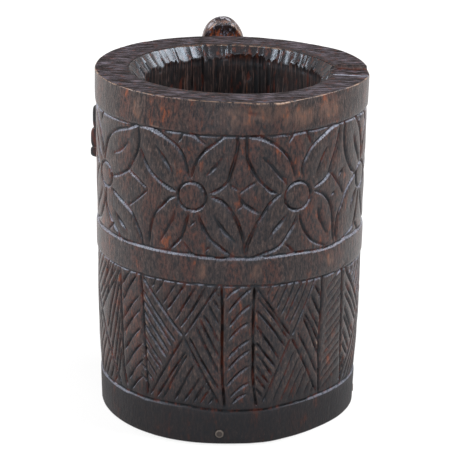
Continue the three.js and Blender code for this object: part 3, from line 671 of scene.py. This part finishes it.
# The handle: carved from the same log. A thick oval grip rises past the rim to a domed crown, and
# two arms join it to the wall. The face towards the pot is pared flat, which leaves an arched edge.
HANDLE_AZIMUTH = 183.3
FINGER_GAP = 27.0
GRIP_WIDTH = 43.0
GRIP_THICKNESS = 28.0
CROWN_RISE = 10.0
CROWN_HEIGHT = 27.0
UPPER_ARM = RIM_HEIGHT - 33
LOWER_ARM = UPPER_ARM - 113
ARM_WIDTH = 36.0
ARM_THICKNESS = 26.0
ARM_FLARE = 5.0
BEND_RADIUS = 30.0
ROOT_DEPTH = 12.0
BAR_SIDES = 72
OVAL = 0.8
HEWN_OFF = 0.05
grip_radius = wall_radius(HANDLE_AZIMUTH, (UPPER_ARM + LOWER_ARM) / 2) + FINGER_GAP + GRIP_THICKNESS / 2
outward = ring_points(HANDLE_AZIMUTH, 1.0, 0.0)[0]
sideways = ring_points(HANDLE_AZIMUTH - 90, 1.0, 0.0)[0]
upward = np.array([0.0, 0.0, 1.0])
side_angles = np.arange(BAR_SIDES) * 2 * math.pi / BAR_SIDES


def bar_section(radius, height, across, thickness, width, length, seed, squareness=OVAL, pared=50.0):
    """A squarish oval round a point of the bar's axis, hewn a little under its full size.

    The thickness is one figure, or one for the outer half and one for the half towards the pot,
    which is pared flat at the distance pared from the bar's axis.
    """
    centre = ring_points(HANDLE_AZIMUTH, radius, height)[0]
    outer, inner = thickness if isinstance(thickness, tuple) else (thickness, thickness)
    cosine, sine = np.cos(side_angles), np.sin(side_angles)
    facets = 0.5 + 0.5 * ripple(np.degrees(side_angles), np.full(BAR_SIDES, length), 90, 14, seed)
    less = 1 - HEWN_OFF * facets
    thick = np.where(cosine > 0, outer, inner) / 2 * np.sign(cosine) * np.abs(cosine) ** squareness * less
    wide = width / 2 * np.sign(sine) * np.abs(sine) ** squareness * less
    thick = np.maximum(thick, -pared)
    return centre + thick[:, None] * across + wide[:, None] * sideways


def bar(name, sections):
    """A closed bar through its sections, with a flat cap at each end."""
    sides = len(sections[0])
    count = len(sections) * sides
    side = np.arange(sides)
    beside = (side + 1) % sides
    top = count - sides
    caps = [
        np.column_stack([beside, side, np.full(sides, count)]),
        np.column_stack([side + top, beside + top, np.full(sides, count + 1)]),
    ]
    middles = [sections[0].mean(0), sections[-1].mean(0)]
    faces = np.concatenate([strips(0, sides, len(sections))] + caps)
    return mesh_object(name, np.vstack(sections + middles), faces)


def arm_root(height, across, seed):
    """An arm where it leaves the wall, flared and from inside the wall outwards."""
    wall = wall_radius(HANDLE_AZIMUTH, height)
    found = []
    for reach in [-ROOT_DEPTH, -4, 0, 1, 2, 3, 4, 5, 7, 9]:
        flare = 2 * ARM_FLARE * (1 - smoothstep(reach, -1, 9)) ** 1.5
        found.append(bar_section(
            wall + reach, height, across, ARM_THICKNESS + flare, ARM_WIDTH + flare, height + reach, seed
        ))
    return found


INNER_FULLNESS = 6.0
SHAVED_OFF = 0.5
SQUARED = 0.62
PARED_FACE = 9.6
PARED_TOP = 2.4
GRIP_SEED = 61
crown_base = RIM_HEIGHT + CROWN_RISE - CROWN_HEIGHT
shaved_thickness = GRIP_THICKNESS - SHAVED_OFF
grip_bottom = LOWER_ARM + BEND_RADIUS
sections = []
for angle in np.radians(np.concatenate([[3, 7, 12], np.linspace(18, 90, 22)])):
    share = math.sin(angle)
    height = crown_base + (CROWN_HEIGHT - SHAVED_OFF) * math.cos(angle)
    domed = share ** 0.7
    thickness = (shaved_thickness * domed, (GRIP_THICKNESS + INNER_FULLNESS) * domed)
    pared = PARED_FACE + PARED_TOP * smoothstep(height, 310, 325)
    sections.append(bar_section(
        grip_radius, height, outward, thickness, GRIP_WIDTH * share, height, GRIP_SEED, SQUARED, pared
    ))
for height in np.linspace(crown_base, grip_bottom, 46)[1:]:
    squared = smoothstep(height, 240, crown_base)
    thickness = (shaved_thickness, GRIP_THICKNESS + INNER_FULLNESS * squared)
    sections.append(bar_section(
        grip_radius, height, outward, thickness, GRIP_WIDTH, height, GRIP_SEED,
        squareness=OVAL + (SQUARED - OVAL) * squared,
        pared=GRIP_THICKNESS / 2 + (PARED_FACE - GRIP_THICKNESS / 2) * squared,
    ))
for share in np.linspace(0, 1, 20)[1:]:
    angle = math.pi / 2 * share
    across = outward * math.cos(angle) - upward * math.sin(angle)
    sections.append(bar_section(
        grip_radius - BEND_RADIUS * (1 - math.cos(angle)),
        LOWER_ARM + BEND_RADIUS * (1 - math.sin(angle)),
        across,
        GRIP_THICKNESS + (ARM_THICKNESS - GRIP_THICKNESS) * share,
        GRIP_WIDTH + (ARM_WIDTH - GRIP_WIDTH) * share,
        LOWER_ARM - 40 * share,
        GRIP_SEED,
    ))
grip = bar("grip", sections + arm_root(LOWER_ARM, -upward, 62)[::-1])
sections = arm_root(UPPER_ARM, upward, 63)
wall = wall_radius(HANDLE_AZIMUTH, UPPER_ARM)
for radius in np.linspace(wall + 9, grip_radius, 14)[1:]:
    sections.append(bar_section(radius, UPPER_ARM, upward, ARM_THICKNESS, ARM_WIDTH, radius, 63))
upper_arm = bar("upper_arm", sections)

# The lug: an upright fin on the left, from the same wood, with three rounded lobes along its edge.
# Its corners are worn round, and its inner half is let into the wall.
LUG_AZIMUTH = 253.0
LUG_TOP = RIM_HEIGHT - 46
LUG_WIDTH = 16.0
LOBE_HEIGHTS = [23.0, 18.0, 9.5]
LOBE_PROUD = [8.7, 10.7, 11.0]
NOTCH_DEPTH = 1.7
LUG_SIDES = 28
LUG_SQUARENESS = 0.45
END_ROUNDING = 3.0
lug_outline = []
lug_bottom = LUG_TOP
for lobe, proud in zip(LOBE_HEIGHTS, LOBE_PROUD):
    for share in np.linspace(0, 1, 21):
        notched = NOTCH_DEPTH * (1 - math.sin(math.pi * share)) ** 2.2
        lug_outline.append((proud - notched, lug_bottom - lobe * share))
    lug_bottom -= lobe
lug_wall = wall_radius(LUG_AZIMUTH, (LUG_TOP + lug_bottom) / 2)
lug_out = ring_points(LUG_AZIMUTH, 1.0, 0.0)[0]
lug_side = ring_points(LUG_AZIMUTH + 90, 1.0, 0.0)[0]
lug_rings = []
turn = np.arange(LUG_SIDES) * 2 * math.pi / LUG_SIDES
squarish_out = np.sign(np.cos(turn)) * np.abs(np.cos(turn)) ** LUG_SQUARENESS
squarish_wide = LUG_WIDTH / 2 * np.sign(np.sin(turn)) * np.abs(np.sin(turn)) ** LUG_SQUARENESS
for reach, height in [(lug_outline[0][0], LUG_TOP)] + lug_outline + [(lug_outline[-1][0], lug_bottom)]:
    half = (reach + ROOT_DEPTH) / 2
    out = lug_wall + (reach - ROOT_DEPTH) / 2 + half * squarish_out
    edge = min(LUG_TOP - height, height - lug_bottom, END_ROUNDING) / END_ROUNDING
    out = np.minimum(out, lug_wall + reach - 4.0 * (1 - math.sqrt(edge * (2 - edge))))
    wide = squarish_wide * (0.8 + 0.2 * math.sqrt(edge))
    lug_rings.append(out[:, None] * lug_out + wide[:, None] * lug_side + height * upward)
lug = bar("lug", lug_rings)

# The pouring channel, sawn and pared across the rim to the right, and the four holes bored through
# the foot for the pegs
CHANNEL_NEAR = -19.3
CHANNEL_FAR = 15.5
CHANNEL_DEPTH = 4.5
CHANNEL_FLARE = 3.4
ABOVE_RIM = 9
PEG_RADIUS = 4.0
PEG_CLEARANCE = 0.3
PEG_HEIGHT = 10.0
PEG_AZIMUTHS = [-3, 87, 177, 267]
HOLE_SIDES = 32


def channel_near(radius):
    """Where the channel's near edge runs, opening out towards the outside of the pot."""
    return CHANNEL_NEAR - CHANNEL_FLARE * smoothstep(radius, 90, 122)


channel_rings = []
for radius in np.linspace(60, 140, 70):
    mouth_corner = 1 - smoothstep(radius, 81, 92)
    near = channel_near(radius) - 9.0 * mouth_corner
    far = CHANNEL_FAR - 5.5 * (1 - smoothstep(radius, 90, 97))
    floor = RIM_HEIGHT - CHANNEL_DEPTH + 0.25 * math.sin(radius / 3.1) + 0.3
    channel_rings.append(np.array([
        (radius, near - 0.8, RIM_HEIGHT + ABOVE_RIM), (radius, near - 0.8, RIM_HEIGHT - 0.3),
        (radius, near, RIM_HEIGHT - 0.9), (radius, near + 0.9, floor + 0.8), (radius, near + 2.6, floor),
        (radius, (near + far) / 2, floor + 0.35 * math.cos(radius / 7)),
        (radius, far - 1.6, floor + 0.15), (radius, far - 0.3, floor + 0.9),
        (radius, far + 0.2, RIM_HEIGHT - 0.4), (radius, far + 0.2, RIM_HEIGHT + ABOVE_RIM),
    ]))
channel = bar("channel", channel_rings)
holes = []
for azimuth in PEG_AZIMUTHS:
    out = ring_points(azimuth, 1.0, 0.0)[0]
    side = ring_points(azimuth + 90, 1.0, 0.0)[0]
    turn = np.arange(HOLE_SIDES) * 2 * math.pi / HOLE_SIDES
    reach = PEG_RADIUS + PEG_CLEARANCE
    ring = reach * (np.cos(turn)[:, None] * side + np.sin(turn)[:, None] * upward) + PEG_HEIGHT * upward
    holes.append(bar("peg_hole", [ring + radius * out for radius in (70.0, 140.0)]))

# Everything carved from the log becomes one body
left_on = [grip, upper_arm, lug]
cut_out = [channel] + holes
for other in left_on + cut_out:
    modifier = pot.modifiers.new("carved", "BOOLEAN")
    modifier.operation = "UNION" if other in left_on else "DIFFERENCE"
    modifier.solver = "MANIFOLD"
    modifier.object = other
graph = bpy.context.evaluated_depsgraph_get()
joined = bpy.data.meshes.new_from_object(pot.evaluated_get(graph))
pot.modifiers.clear()
pot.data = joined
joined.name = "carved_pot"
for other in left_on + cut_out:
    bpy.data.objects.remove(other)
joined.shade_smooth()
joined.set_sharp_from_angle(angle=math.radians(60))

# How far each point lies below or above the wood round it: the low places are painted dark as shade,
# and handling wears the high ones pale
corner = np.empty(3 * len(joined.vertices), np.float32)
joined.vertices.foreach_get("co", corner)
place = corner.reshape(-1, 3).astype(float) * 1000
normal = np.empty_like(corner)
joined.vertices.foreach_get("normal", normal)
normal = normal.reshape(-1, 3)
ends = np.empty(2 * len(joined.edges), np.int32)
joined.edges.foreach_get("vertices", ends)
ends = ends.reshape(-1, 2)
ends = np.vstack([ends, ends[:, ::-1]])
ends = ends[np.abs(place[ends[:, 0]] - place[ends[:, 1]]).max(1) < 4]
neighbours = np.maximum(np.bincount(ends[:, 0], minlength=len(place)), 1)


def averaged(values, times):
    """Each point's value, evened out with its neighbours' that many times."""
    for _ in range(times):
        spread = np.bincount(ends[:, 0], values[ends[:, 1]], minlength=len(values)) / neighbours
        values = np.where(neighbours > 2, 0.4 * values + 0.6 * spread, values)
    return values


smooth_place = np.column_stack([averaged(place[:, axis], 12) for axis in range(3)])
height_over = ((place - smooth_place) * normal).sum(1)
radius = np.hypot(place[:, 0], place[:, 1])
azimuth = np.degrees(np.arctan2(place[:, 0], -place[:, 1]))
height = place[:, 2]
below_rim = RIM_HEIGHT - height
sunk = np.clip(averaged(-height_over, 1) / 0.6, 0, 1) * np.where(below_rim < 8, 0.3, 1)
raised = np.clip(averaged(height_over, 1) / 1.2, 0, 1)
OUTSIDE_FROM = 104
HANDLE_FROM = 140
outside = radius > OUTSIDE_FROM
on_handle = radius > HANDLE_FROM

# The slopes of the cuts and borders that look up are polished and get a painted pale blue-grey
# highlight, most of all just under a band and least on the front of the foot. So does the channel's near
# edge.
UNDER_BAND = 2.5
ledge_highlight = smoothstep(normal[:, 2], 0.15, 0.5) * outside * smoothstep(below_rim, 7, 10)
under_band = 0
for band_bottom in (FLOWERS_TOP, HATCH_TOP):
    from_border = np.abs(height - (band_bottom - UNDER_BAND))
    under_band = np.maximum(under_band, smoothstep(-from_border, -5, -3))
on_foot = smoothstep(-height, -FOOT_BAND_TOP - 4, -FOOT_BAND_TOP - 2)
on_foot *= 1 - smoothstep(np.abs(azimuth), 10, 55)
ledge_highlight *= (0.7 + 0.3 * under_band) * (1 - 0.7 * on_foot) * smoothstep(-radius, -131, -129)
EDGE_WIDTH = 1.7
from_edge = place[:, 1] - channel_near(radius) + 1.6
channel_edge_highlight = 0.9 * np.exp(-(from_edge / EDGE_WIDTH) ** 2) * (place[:, 0] > 84) * (below_rim < 2)
ledge_highlight = np.maximum(ledge_highlight, channel_edge_highlight)

# The handle's crown gets a painted pale highlight where it faces up, and the arched edge of its pared
# face is worn. The mouth's edge is worn only at the back, where hands reach over it to the handle.
crown = smoothstep(radius, HANDLE_FROM, HANDLE_FROM + 4) * smoothstep(normal[:, 2], -0.1, 0.5)
crown *= height > UPPER_ARM + 3
at_mouth = (radius < 100) & (below_rim < 30)
raised *= np.where(at_mouth, 0.12 + 0.5 * smoothstep(np.abs(azimuth), 115, 150), 1)
low_on_handle = (radius > 135) & (below_rim > 40)
raised *= np.where(low_on_handle, 0.5, 1)
ARCH_SLANT = 0.7
ARCH_WIDTH = 0.14
towards_pot = -normal @ outward
arch = np.exp(-((towards_pot - ARCH_SLANT) / ARCH_WIDTH) ** 2) * on_handle * (height > 300)
raised = np.maximum(raised, 0.8 * arch)

# Places on the bands that were rubbed down to brown wood: (azimuth, height, half span, half height).
# The first is the flake off the rim. The lug is rubbed as well.
RUBBED = [
    (FLAKE_AZIMUTH, FLAKE_HEIGHT, 11, 10), (2, 306, 9, 12), (28, 304, 10, 12), (45, 306, 8, 12),
    (-41, 306, 4, 12), (-11, 166, 3, 9), (11, 167, 3, 9), (48, 166, 4, 8),
]
on_lug = smoothstep(radius, 126, 129) * (azimuth < -90) * (azimuth > -125)
rubbed = on_lug * (below_rim > 30)
for centre, middle, half_span, half_height in RUBBED:
    away = np.hypot((azimuth - centre) / half_span, (height - middle) / half_height)
    rubbed = np.maximum(rubbed, smoothstep(-away, -1.25, -0.1) * outside)

in_rim_plane = smoothstep(normal[:, 2], 0.8, 0.95) * smoothstep(-below_rim, -7, -6)
worn = {
    "sunk": sunk,
    "raised": raised,
    "mouth_slope": smoothstep(-radius, -99, -92) * smoothstep(-below_rim, -20, -14),
    "in_hollow": smoothstep(-radius, -97, -90) * smoothstep(below_rim, 9, 15),
    "rim_face": in_rim_plane * smoothstep(radius, 84, 88),
    "grip_face": smoothstep(towards_pot, 0.6, 0.95) * on_handle,
    "near_floor_shade": 1 - smoothstep(height, 20, 75),
    "rubbed": rubbed,
    "ledge_highlight": ledge_highlight,
    "crown": crown,
}
for name, values in worn.items():
    layer = joined.attributes.new(name, "FLOAT", "POINT")
    layer.data.foreach_set("value", values.astype(np.float32))

# Smoke-darkened hardwood, oiled and rubbed by hands: a near-black brown skin with a low gloss,
# streaked red-brown along the upright grain, dull in the cuts and pale on worn edges. Painted shade
# darkens the cuts and the foot, and painted highlights lie on the slopes that face up.
# The grain is 1.3 mm wide and 6 mm long, specks are 2.3 by 5 mm, spots 6 by 18 mm and reddish
# patches 25 by 80 mm. Down the hollow threads are 1.3 by 25 mm and streaks 4 by 80 mm, and the
# saw's lines on the rim are 1.8 by 18 mm.


def srgb(code):
    """A hex colour as the linear colour that the shader wants."""
    channels = [int(code[i:i + 2], 16) / 255 for i in (1, 3, 5)]
    return [c / 12.92 if c <= 0.04045 else ((c + 0.055) / 1.055) ** 2.4 for c in channels] + [1.0]


def empty_tree(owner):
    """The node tree of a new material or world, with nothing in it."""
    owner.use_nodes = True
    owner.node_tree.nodes.clear()
    return owner.node_tree


def add(tree, kind, inputs=(), **settings):
    """Adds a node with its settings; inputs are (socket, value or other node's output) pairs."""
    made = tree.nodes.new(kind)
    for name, value in settings.items():
        setattr(made, name, value)
    for socket, value in inputs:
        if isinstance(value, bpy.types.NodeSocket):
            tree.links.new(value, made.inputs[socket])
        else:
            made.inputs[socket].default_value = value
    return made


def layered(tree, sources, colour, layers):
    """Colours laid over a first one, each by its strength where all its sources are in range."""
    colour = srgb(colour)
    for code, strength, ranges in layers:
        share = strength
        for name, low, high in ranges:
            eased = add(tree, "ShaderNodeMapRange", [
                ("Value", sources[name]), ("From Min", low), ("From Max", high),
            ], interpolation_type="SMOOTHSTEP")
            both = add(tree, "ShaderNodeMath", [(0, share), (1, eased.outputs[0])], operation="MULTIPLY")
            share = both.outputs[0]
        laid = add(tree, "ShaderNodeMix", [
            ("Factor", share), (6, colour), (7, srgb(code)),
        ], data_type="RGBA")
        colour = laid.outputs[2]
    return colour


def summed(tree, sources, first, parts):
    """A figure with parts added to it, each in proportion to its source."""
    for name, amount in parts:
        more = add(tree, "ShaderNodeMath", [
            (0, sources[name]), (1, amount), (2, first),
        ], operation="MULTIPLY_ADD")
        first = more.outputs[0]
    return first


def noises(tree, kinds):
    """Noise textures by name, from (name, stretch, scale per metre, detail, roughness)."""
    sources = {}
    place = add(tree, "ShaderNodeTexCoord").outputs["Object"]
    for name, stretch, scale, detail, roughness in kinds:
        stretched = add(tree, "ShaderNodeMapping", [("Vector", place), ("Scale", stretch)])
        sources[name] = add(tree, "ShaderNodeTexNoise", [
            ("Vector", stretched.outputs[0]), ("Scale", scale), ("Detail", detail),
            ("Roughness", roughness),
        ]).outputs["Fac"]
    return sources


def finished(tree, colour, roughness, marks, strength, distance, gloss=()):
    """Ends a wood's tree: its colour, roughness and marks, as deep as distance in metres, on a shader."""
    bump = add(tree, "ShaderNodeBump", [
        ("Height", marks), ("Strength", strength), ("Distance", distance),
    ])
    shader = add(tree, "ShaderNodeBsdfPrincipled", [
        ("Base Color", colour), ("Roughness", roughness), ("Normal", bump.outputs[0]), *gloss,
    ])
    add(tree, "ShaderNodeOutputMaterial", [("Surface", shader.outputs[0])])


carved_wood = bpy.data.materials.new("oiled_dark_hardwood")
tree = empty_tree(carved_wood)
sources = noises(tree, [
    ("grain", (1, 1, 0.22), 760.0, 3.0, 0.7),
    ("streaks", (1, 1, 0.05), 260.0, 2.0, 0.5),
    ("specks", (1, 1, 0.45), 430.0, 4.0, 0.7),
    ("spots", (1, 1, 0.35), 160.0, 4.0, 0.65),
    ("patches", (1, 1, 0.32), 40.0, 3.0, 0.55),
    ("threads", (1, 1, 0.05), 800.0, 3.0, 0.65),
    ("saw", (0.1, 1, 1), 560.0, 3.0, 0.7),
])
for name in worn:
    sources[name] = add(tree, "ShaderNodeAttribute", attribute_name=name).outputs["Fac"]
sources["rim_saw"] = add(tree, "ShaderNodeMath", [
    (0, sources["rim_face"]), (1, sources["saw"]),
], operation="MULTIPLY").outputs[0]
colour = layered(tree, sources, "#191211", [
    ("#463832", 1.0, [("grain", 0.3, 0.7)]),
    ("#77625a", 0.5, [("specks", 0.5, 0.72)]),
    ("#0f0b0a", 0.7, [("specks", 0.5, 0.34)]),
    ("#5c3427", 0.6, [("patches", 0.46, 0.66), ("specks", 0.4, 0.6)]),
    ("#8c4a2a", 0.7, [("spots", 0.58, 0.7), ("patches", 0.42, 0.6)]),
    ("#74594c", 0.7, [("rubbed", 0, 0.9), ("spots", 0.3, 0.62)]),
    ("#985a3a", 0.45, [("rubbed", 0.1, 0.6), ("spots", 0.52, 0.66), ("specks", 0.35, 0.6)]),
    ("#120f0f", 0.85, [("rim_face", 0, 1)]),
    # The saw's lines on the rim top, painted pale blue-grey: real saw marks with a painted sheen laid
    # along them
    ("#5f5860", 0.9, [("rim_saw", 0.48, 0.64)]),
    ("#5a3426", 0.6, [("rim_saw", 0.4, 0.55), ("spots", 0.55, 0.68)]),
    # Painted shade: the wall is darkened towards the floor
    ("#120e0e", 0.8, [("near_floor_shade", 0, 1)]),
    ("#140d0c", 0.9, [("mouth_slope", 0, 1)]),
    ("#5e3323", 0.6, [("mouth_slope", 0, 1), ("streaks", 0.5, 0.64), ("specks", 0.4, 0.6)]),
    ("#0e0908", 0.85, [("in_hollow", 0, 1)]),
    ("#66504a", 0.6, [("in_hollow", 0, 1), ("threads", 0.51, 0.67)]),
    ("#8a5230", 0.7, [("in_hollow", 0, 1), ("streaks", 0.66, 0.74), ("threads", 0.45, 0.6)]),
    # The grip's pared face: painted shade over it, the wood's own orange-brown spots, and flecks of
    # painted blue-grey sheen
    ("#1a1212", 0.75, [("grip_face", 0, 1)]),
    ("#a25632", 0.75, [("grip_face", 0, 1), ("spots", 0.47, 0.6)]),
    ("#8a90a4", 0.6, [("grip_face", 0, 1), ("specks", 0.54, 0.64)]),
    # Painted shade darkens the cuts and other low places; the red-brown in some of them is the wood's own
    ("#0b0807", 0.92, [("sunk", 0.08, 0.6)]),
    ("#5e2a18", 0.55, [("sunk", 0.12, 0.45), ("spots", 0.48, 0.62)]),
    # Painted highlight on the slopes that look up
    ("#9599a8", 0.9, [("ledge_highlight", 0.15, 1), ("grain", 0.25, 0.6)]),
    # Painted highlight on the handle's crown
    ("#aaa7ae", 0.75, [("crown", 0, 1), ("spots", 0.52, 0.62)]),
    ("#b39580", 0.85, [("raised", 0.38, 0.8), ("spots", 0.4, 0.58)]),
])
roughness = summed(tree, sources, 0.2, [
    ("grain", 0.3), ("sunk", 0.1), ("raised", -0.1), ("rim_face", 0.65), ("rim_saw", -0.45),
    ("near_floor_shade", 0.3), ("mouth_slope", -0.08), ("in_hollow", 0.2), ("ledge_highlight", -0.16),
])
marks = summed(tree, sources, 0.0, [("grain", 1.0), ("streaks", 0.6), ("specks", 1.2), ("rim_saw", 2.0)])
relief = summed(tree, sources, 1.0, [("mouth_slope", -0.75), ("rim_face", 1.2)])
marks = add(tree, "ShaderNodeMath", [(0, marks), (1, relief)], operation="MULTIPLY").outputs[0]
gloss = summed(tree, sources, 0.4, [("rim_face", -0.32), ("mouth_slope", 0.1)])
finished(tree, colour, roughness, marks, 0.8, 0.00045, gloss=[
    ("IOR", 1.45), ("Specular IOR Level", gloss), ("Specular Tint", (0.72, 0.85, 1.0, 1.0)),
])
joined.materials.clear()
joined.materials.append(carved_wood)
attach(pot, "root")
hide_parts("pot_body")

# The base board: a round board let into the bottom of the hollow, dull dark wood that was gouged
# level and never oiled. Its grain is 2.4 by 40 mm and its gouge marks 8 by 33 mm, and the CAD
# solid has its shape.
board_wood = bpy.data.materials.new("dull_hardwood_board")
tree = empty_tree(board_wood)
sources = noises(tree, [
    ("grain", (1, 0.06, 1), 420.0, 4.0, 0.6),
    ("gouges", (1, 0.25, 1), 120.0, 1.0, 0.5),
])
colour = layered(tree, sources, "#2e231d", [
    ("#5a4334", 1.0, [("grain", 0.3, 0.7)]),
    ("#1c1512", 0.6, [("gouges", 0.5, 0.7)]),
])
marks = summed(tree, sources, 0.0, [("grain", 1.0), ("gouges", 3.0)])
finished(tree, colour, summed(tree, sources, 0.5, [("grain", 0.4)]), marks, 0.6, 0.0006)
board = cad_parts["base_disc"]
for slot in board.material_slots:
    slot.material = board_wood

# The pegs: hardwood pins 8 mm thick, driven through the foot to hold the board. Their sawn end
# grain, 1.1 mm across, shows flush with the foot as a greyed ring round a dark heart.
peg_wood = bpy.data.materials.new("end_grain_peg")
tree = empty_tree(peg_wood)
sources = noises(tree, [("grain", (1, 1, 1), 900.0, 3.0, 0.5)])
turned = add(tree, "ShaderNodeMapping", [
    ("Vector", add(tree, "ShaderNodeTexCoord").outputs["Object"]),
    ("Rotation", (0, 0, math.radians(-PEG_AZIMUTHS[0]))), ("Location", (0, 0, -PEG_HEIGHT / 1000)),
])
axes = add(tree, "ShaderNodeSeparateXYZ", [(0, turned.outputs[0])])
either_way = [
    (i, add(tree, "ShaderNodeMath", [(0, axes.outputs[i])], operation="ABSOLUTE").outputs[0])
    for i in (0, 1)
]
beside = add(tree, "ShaderNodeMath", either_way, operation="MINIMUM")
off_axis = add(tree, "ShaderNodeCombineXYZ", [(0, beside.outputs[0]), (2, axes.outputs[2])])
from_heart = add(tree, "ShaderNodeVectorMath", [(0, off_axis.outputs[0])], operation="LENGTH")
sources["from_heart"] = from_heart.outputs["Value"]
colour = layered(tree, sources, "#1a1412", [
    ("#342823", 1.0, [("grain", 0.3, 0.7)]),
    ("#6f665f", 0.8, [("from_heart", 0.0022, 0.003), ("from_heart", 0.0042, 0.0036)]),
])
roughness = summed(tree, sources, 0.45, [("grain", 0.3)])
finished(tree, colour, roughness, sources["grain"], 0.5, 0.0003)
for name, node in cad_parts.items():
    if name.startswith("base_peg"):
        for slot in node.material_slots:
            slot.material = peg_wood

# The studio: a white floor that keeps the pot's soft shadow, a white surround, two small bright
# lamps at the left and right, a wide low one in front and a high one beside the pot on each side
FLOOR_REACH = 4000
floor_corners = [(-1, -1), (1, -1), (1, 1), (-1, 1)]
floor = mesh_object(
    "floor", [(x * FLOOR_REACH, y * FLOOR_REACH, -0.2) for x, y in floor_corners], [(0, 1, 2), (0, 2, 3)]
)
floor_paint = bpy.data.materials.new("white_floor")
tree = empty_tree(floor_paint)


def seen_straight(tree):
    """1 for rays from the camera, off gloss and through glass, and 0 for those that light things."""
    ray = add(tree, "ShaderNodeLightPath")
    seen = ray.outputs["Is Camera Ray"]
    for kind in ("Is Glossy Ray", "Is Transmission Ray"):
        either = add(tree, "ShaderNodeMath", [(0, seen), (1, ray.outputs[kind])], operation="MAXIMUM")
        seen = either.outputs[0]
    return seen


straight = seen_straight(tree)
spot = add(tree, "ShaderNodeTexCoord")
away = add(tree, "ShaderNodeVectorMath", [(0, spot.outputs["Object"])], operation="LENGTH")
matt = add(tree, "ShaderNodeBsdfDiffuse", [("Color", (0.35, 0.35, 0.35, 1))])
# The floor's own glow is weaker within about a metre of the pot, a painted shade on the floor round it
far = add(tree, "ShaderNodeMapRange", [
    ("Value", away.outputs["Value"]), ("From Min", 0.3), ("From Max", 1.3), ("To Min", 0.62),
    ("To Max", 1.0),
])
level = add(tree, "ShaderNodeMath", [(0, straight), (1, far.outputs[0])], operation="MULTIPLY")
glow = add(tree, "ShaderNodeEmission", [("Strength", level.outputs[0])])
both = add(tree, "ShaderNodeAddShader", [(0, matt.outputs[0]), (1, glow.outputs[0])])
add(tree, "ShaderNodeOutputMaterial", [("Surface", both.outputs[0])])
floor.data.materials.append(floor_paint)

surround = bpy.data.worlds.new("white_surround")
bpy.context.scene.world = surround
tree = empty_tree(surround)
level = add(tree, "ShaderNodeMapRange", [
    ("Value", seen_straight(tree)), ("To Min", 0.32), ("To Max", 1.0),
])
white = add(tree, "ShaderNodeBackground", [("Strength", level.outputs[0])])
add(tree, "ShaderNodeOutputWorld", [("Surface", white.outputs[0])])


def soft_lamp(name, azimuth, elevation, distance, size, power):
    """A square soft lamp that faces the middle of the pot."""
    lamp = bpy.data.lights.new(name, "AREA")
    lamp.size = size
    lamp.energy = power
    placed = bpy.data.objects.new(name, lamp)
    turn = Matrix.Rotation(math.radians(azimuth), 4, "Z")
    lean = Matrix.Rotation(math.radians(90 - elevation), 4, "X")
    aimed = Matrix.Translation((0, 0, 0.2)) @ turn @ lean
    placed.matrix_world = aimed @ Matrix.Translation((0, 0, distance))
    bpy.context.scene.collection.objects.link(placed)


soft_lamp("left_lamp", -78, 29, 0.85, 0.24, 4.4)
soft_lamp("right_lamp", 72, 55, 0.9, 0.28, 6)
soft_lamp("front_lamp", 0, 14, 1.3, 0.9, 5)
soft_lamp("left_side_lamp", -105, 62, 1.0, 0.4, 5.5)
soft_lamp("right_side_lamp", 112, 50, 1.0, 0.4, 7)

# The camera stands 1.95 m away and looks 18.5 degrees down, as the photo's did
camera = bpy.data.objects.new("camera", bpy.data.cameras.new("camera"))
camera.data.lens = 164.09
camera.data.sensor_width = 36
camera.data.clip_end = 50
tilt = Matrix.Rotation(math.radians(71.509), 4, "X") @ Matrix.Rotation(math.radians(0.849), 4, "Z")
camera.matrix_world = Matrix.Translation((0.00057, -1.8546, 0.7841)) @ tilt
bpy.context.scene.collection.objects.link(camera)
bpy.context.scene.camera = camera
bpy.context.scene.view_settings.view_transform = "Standard"
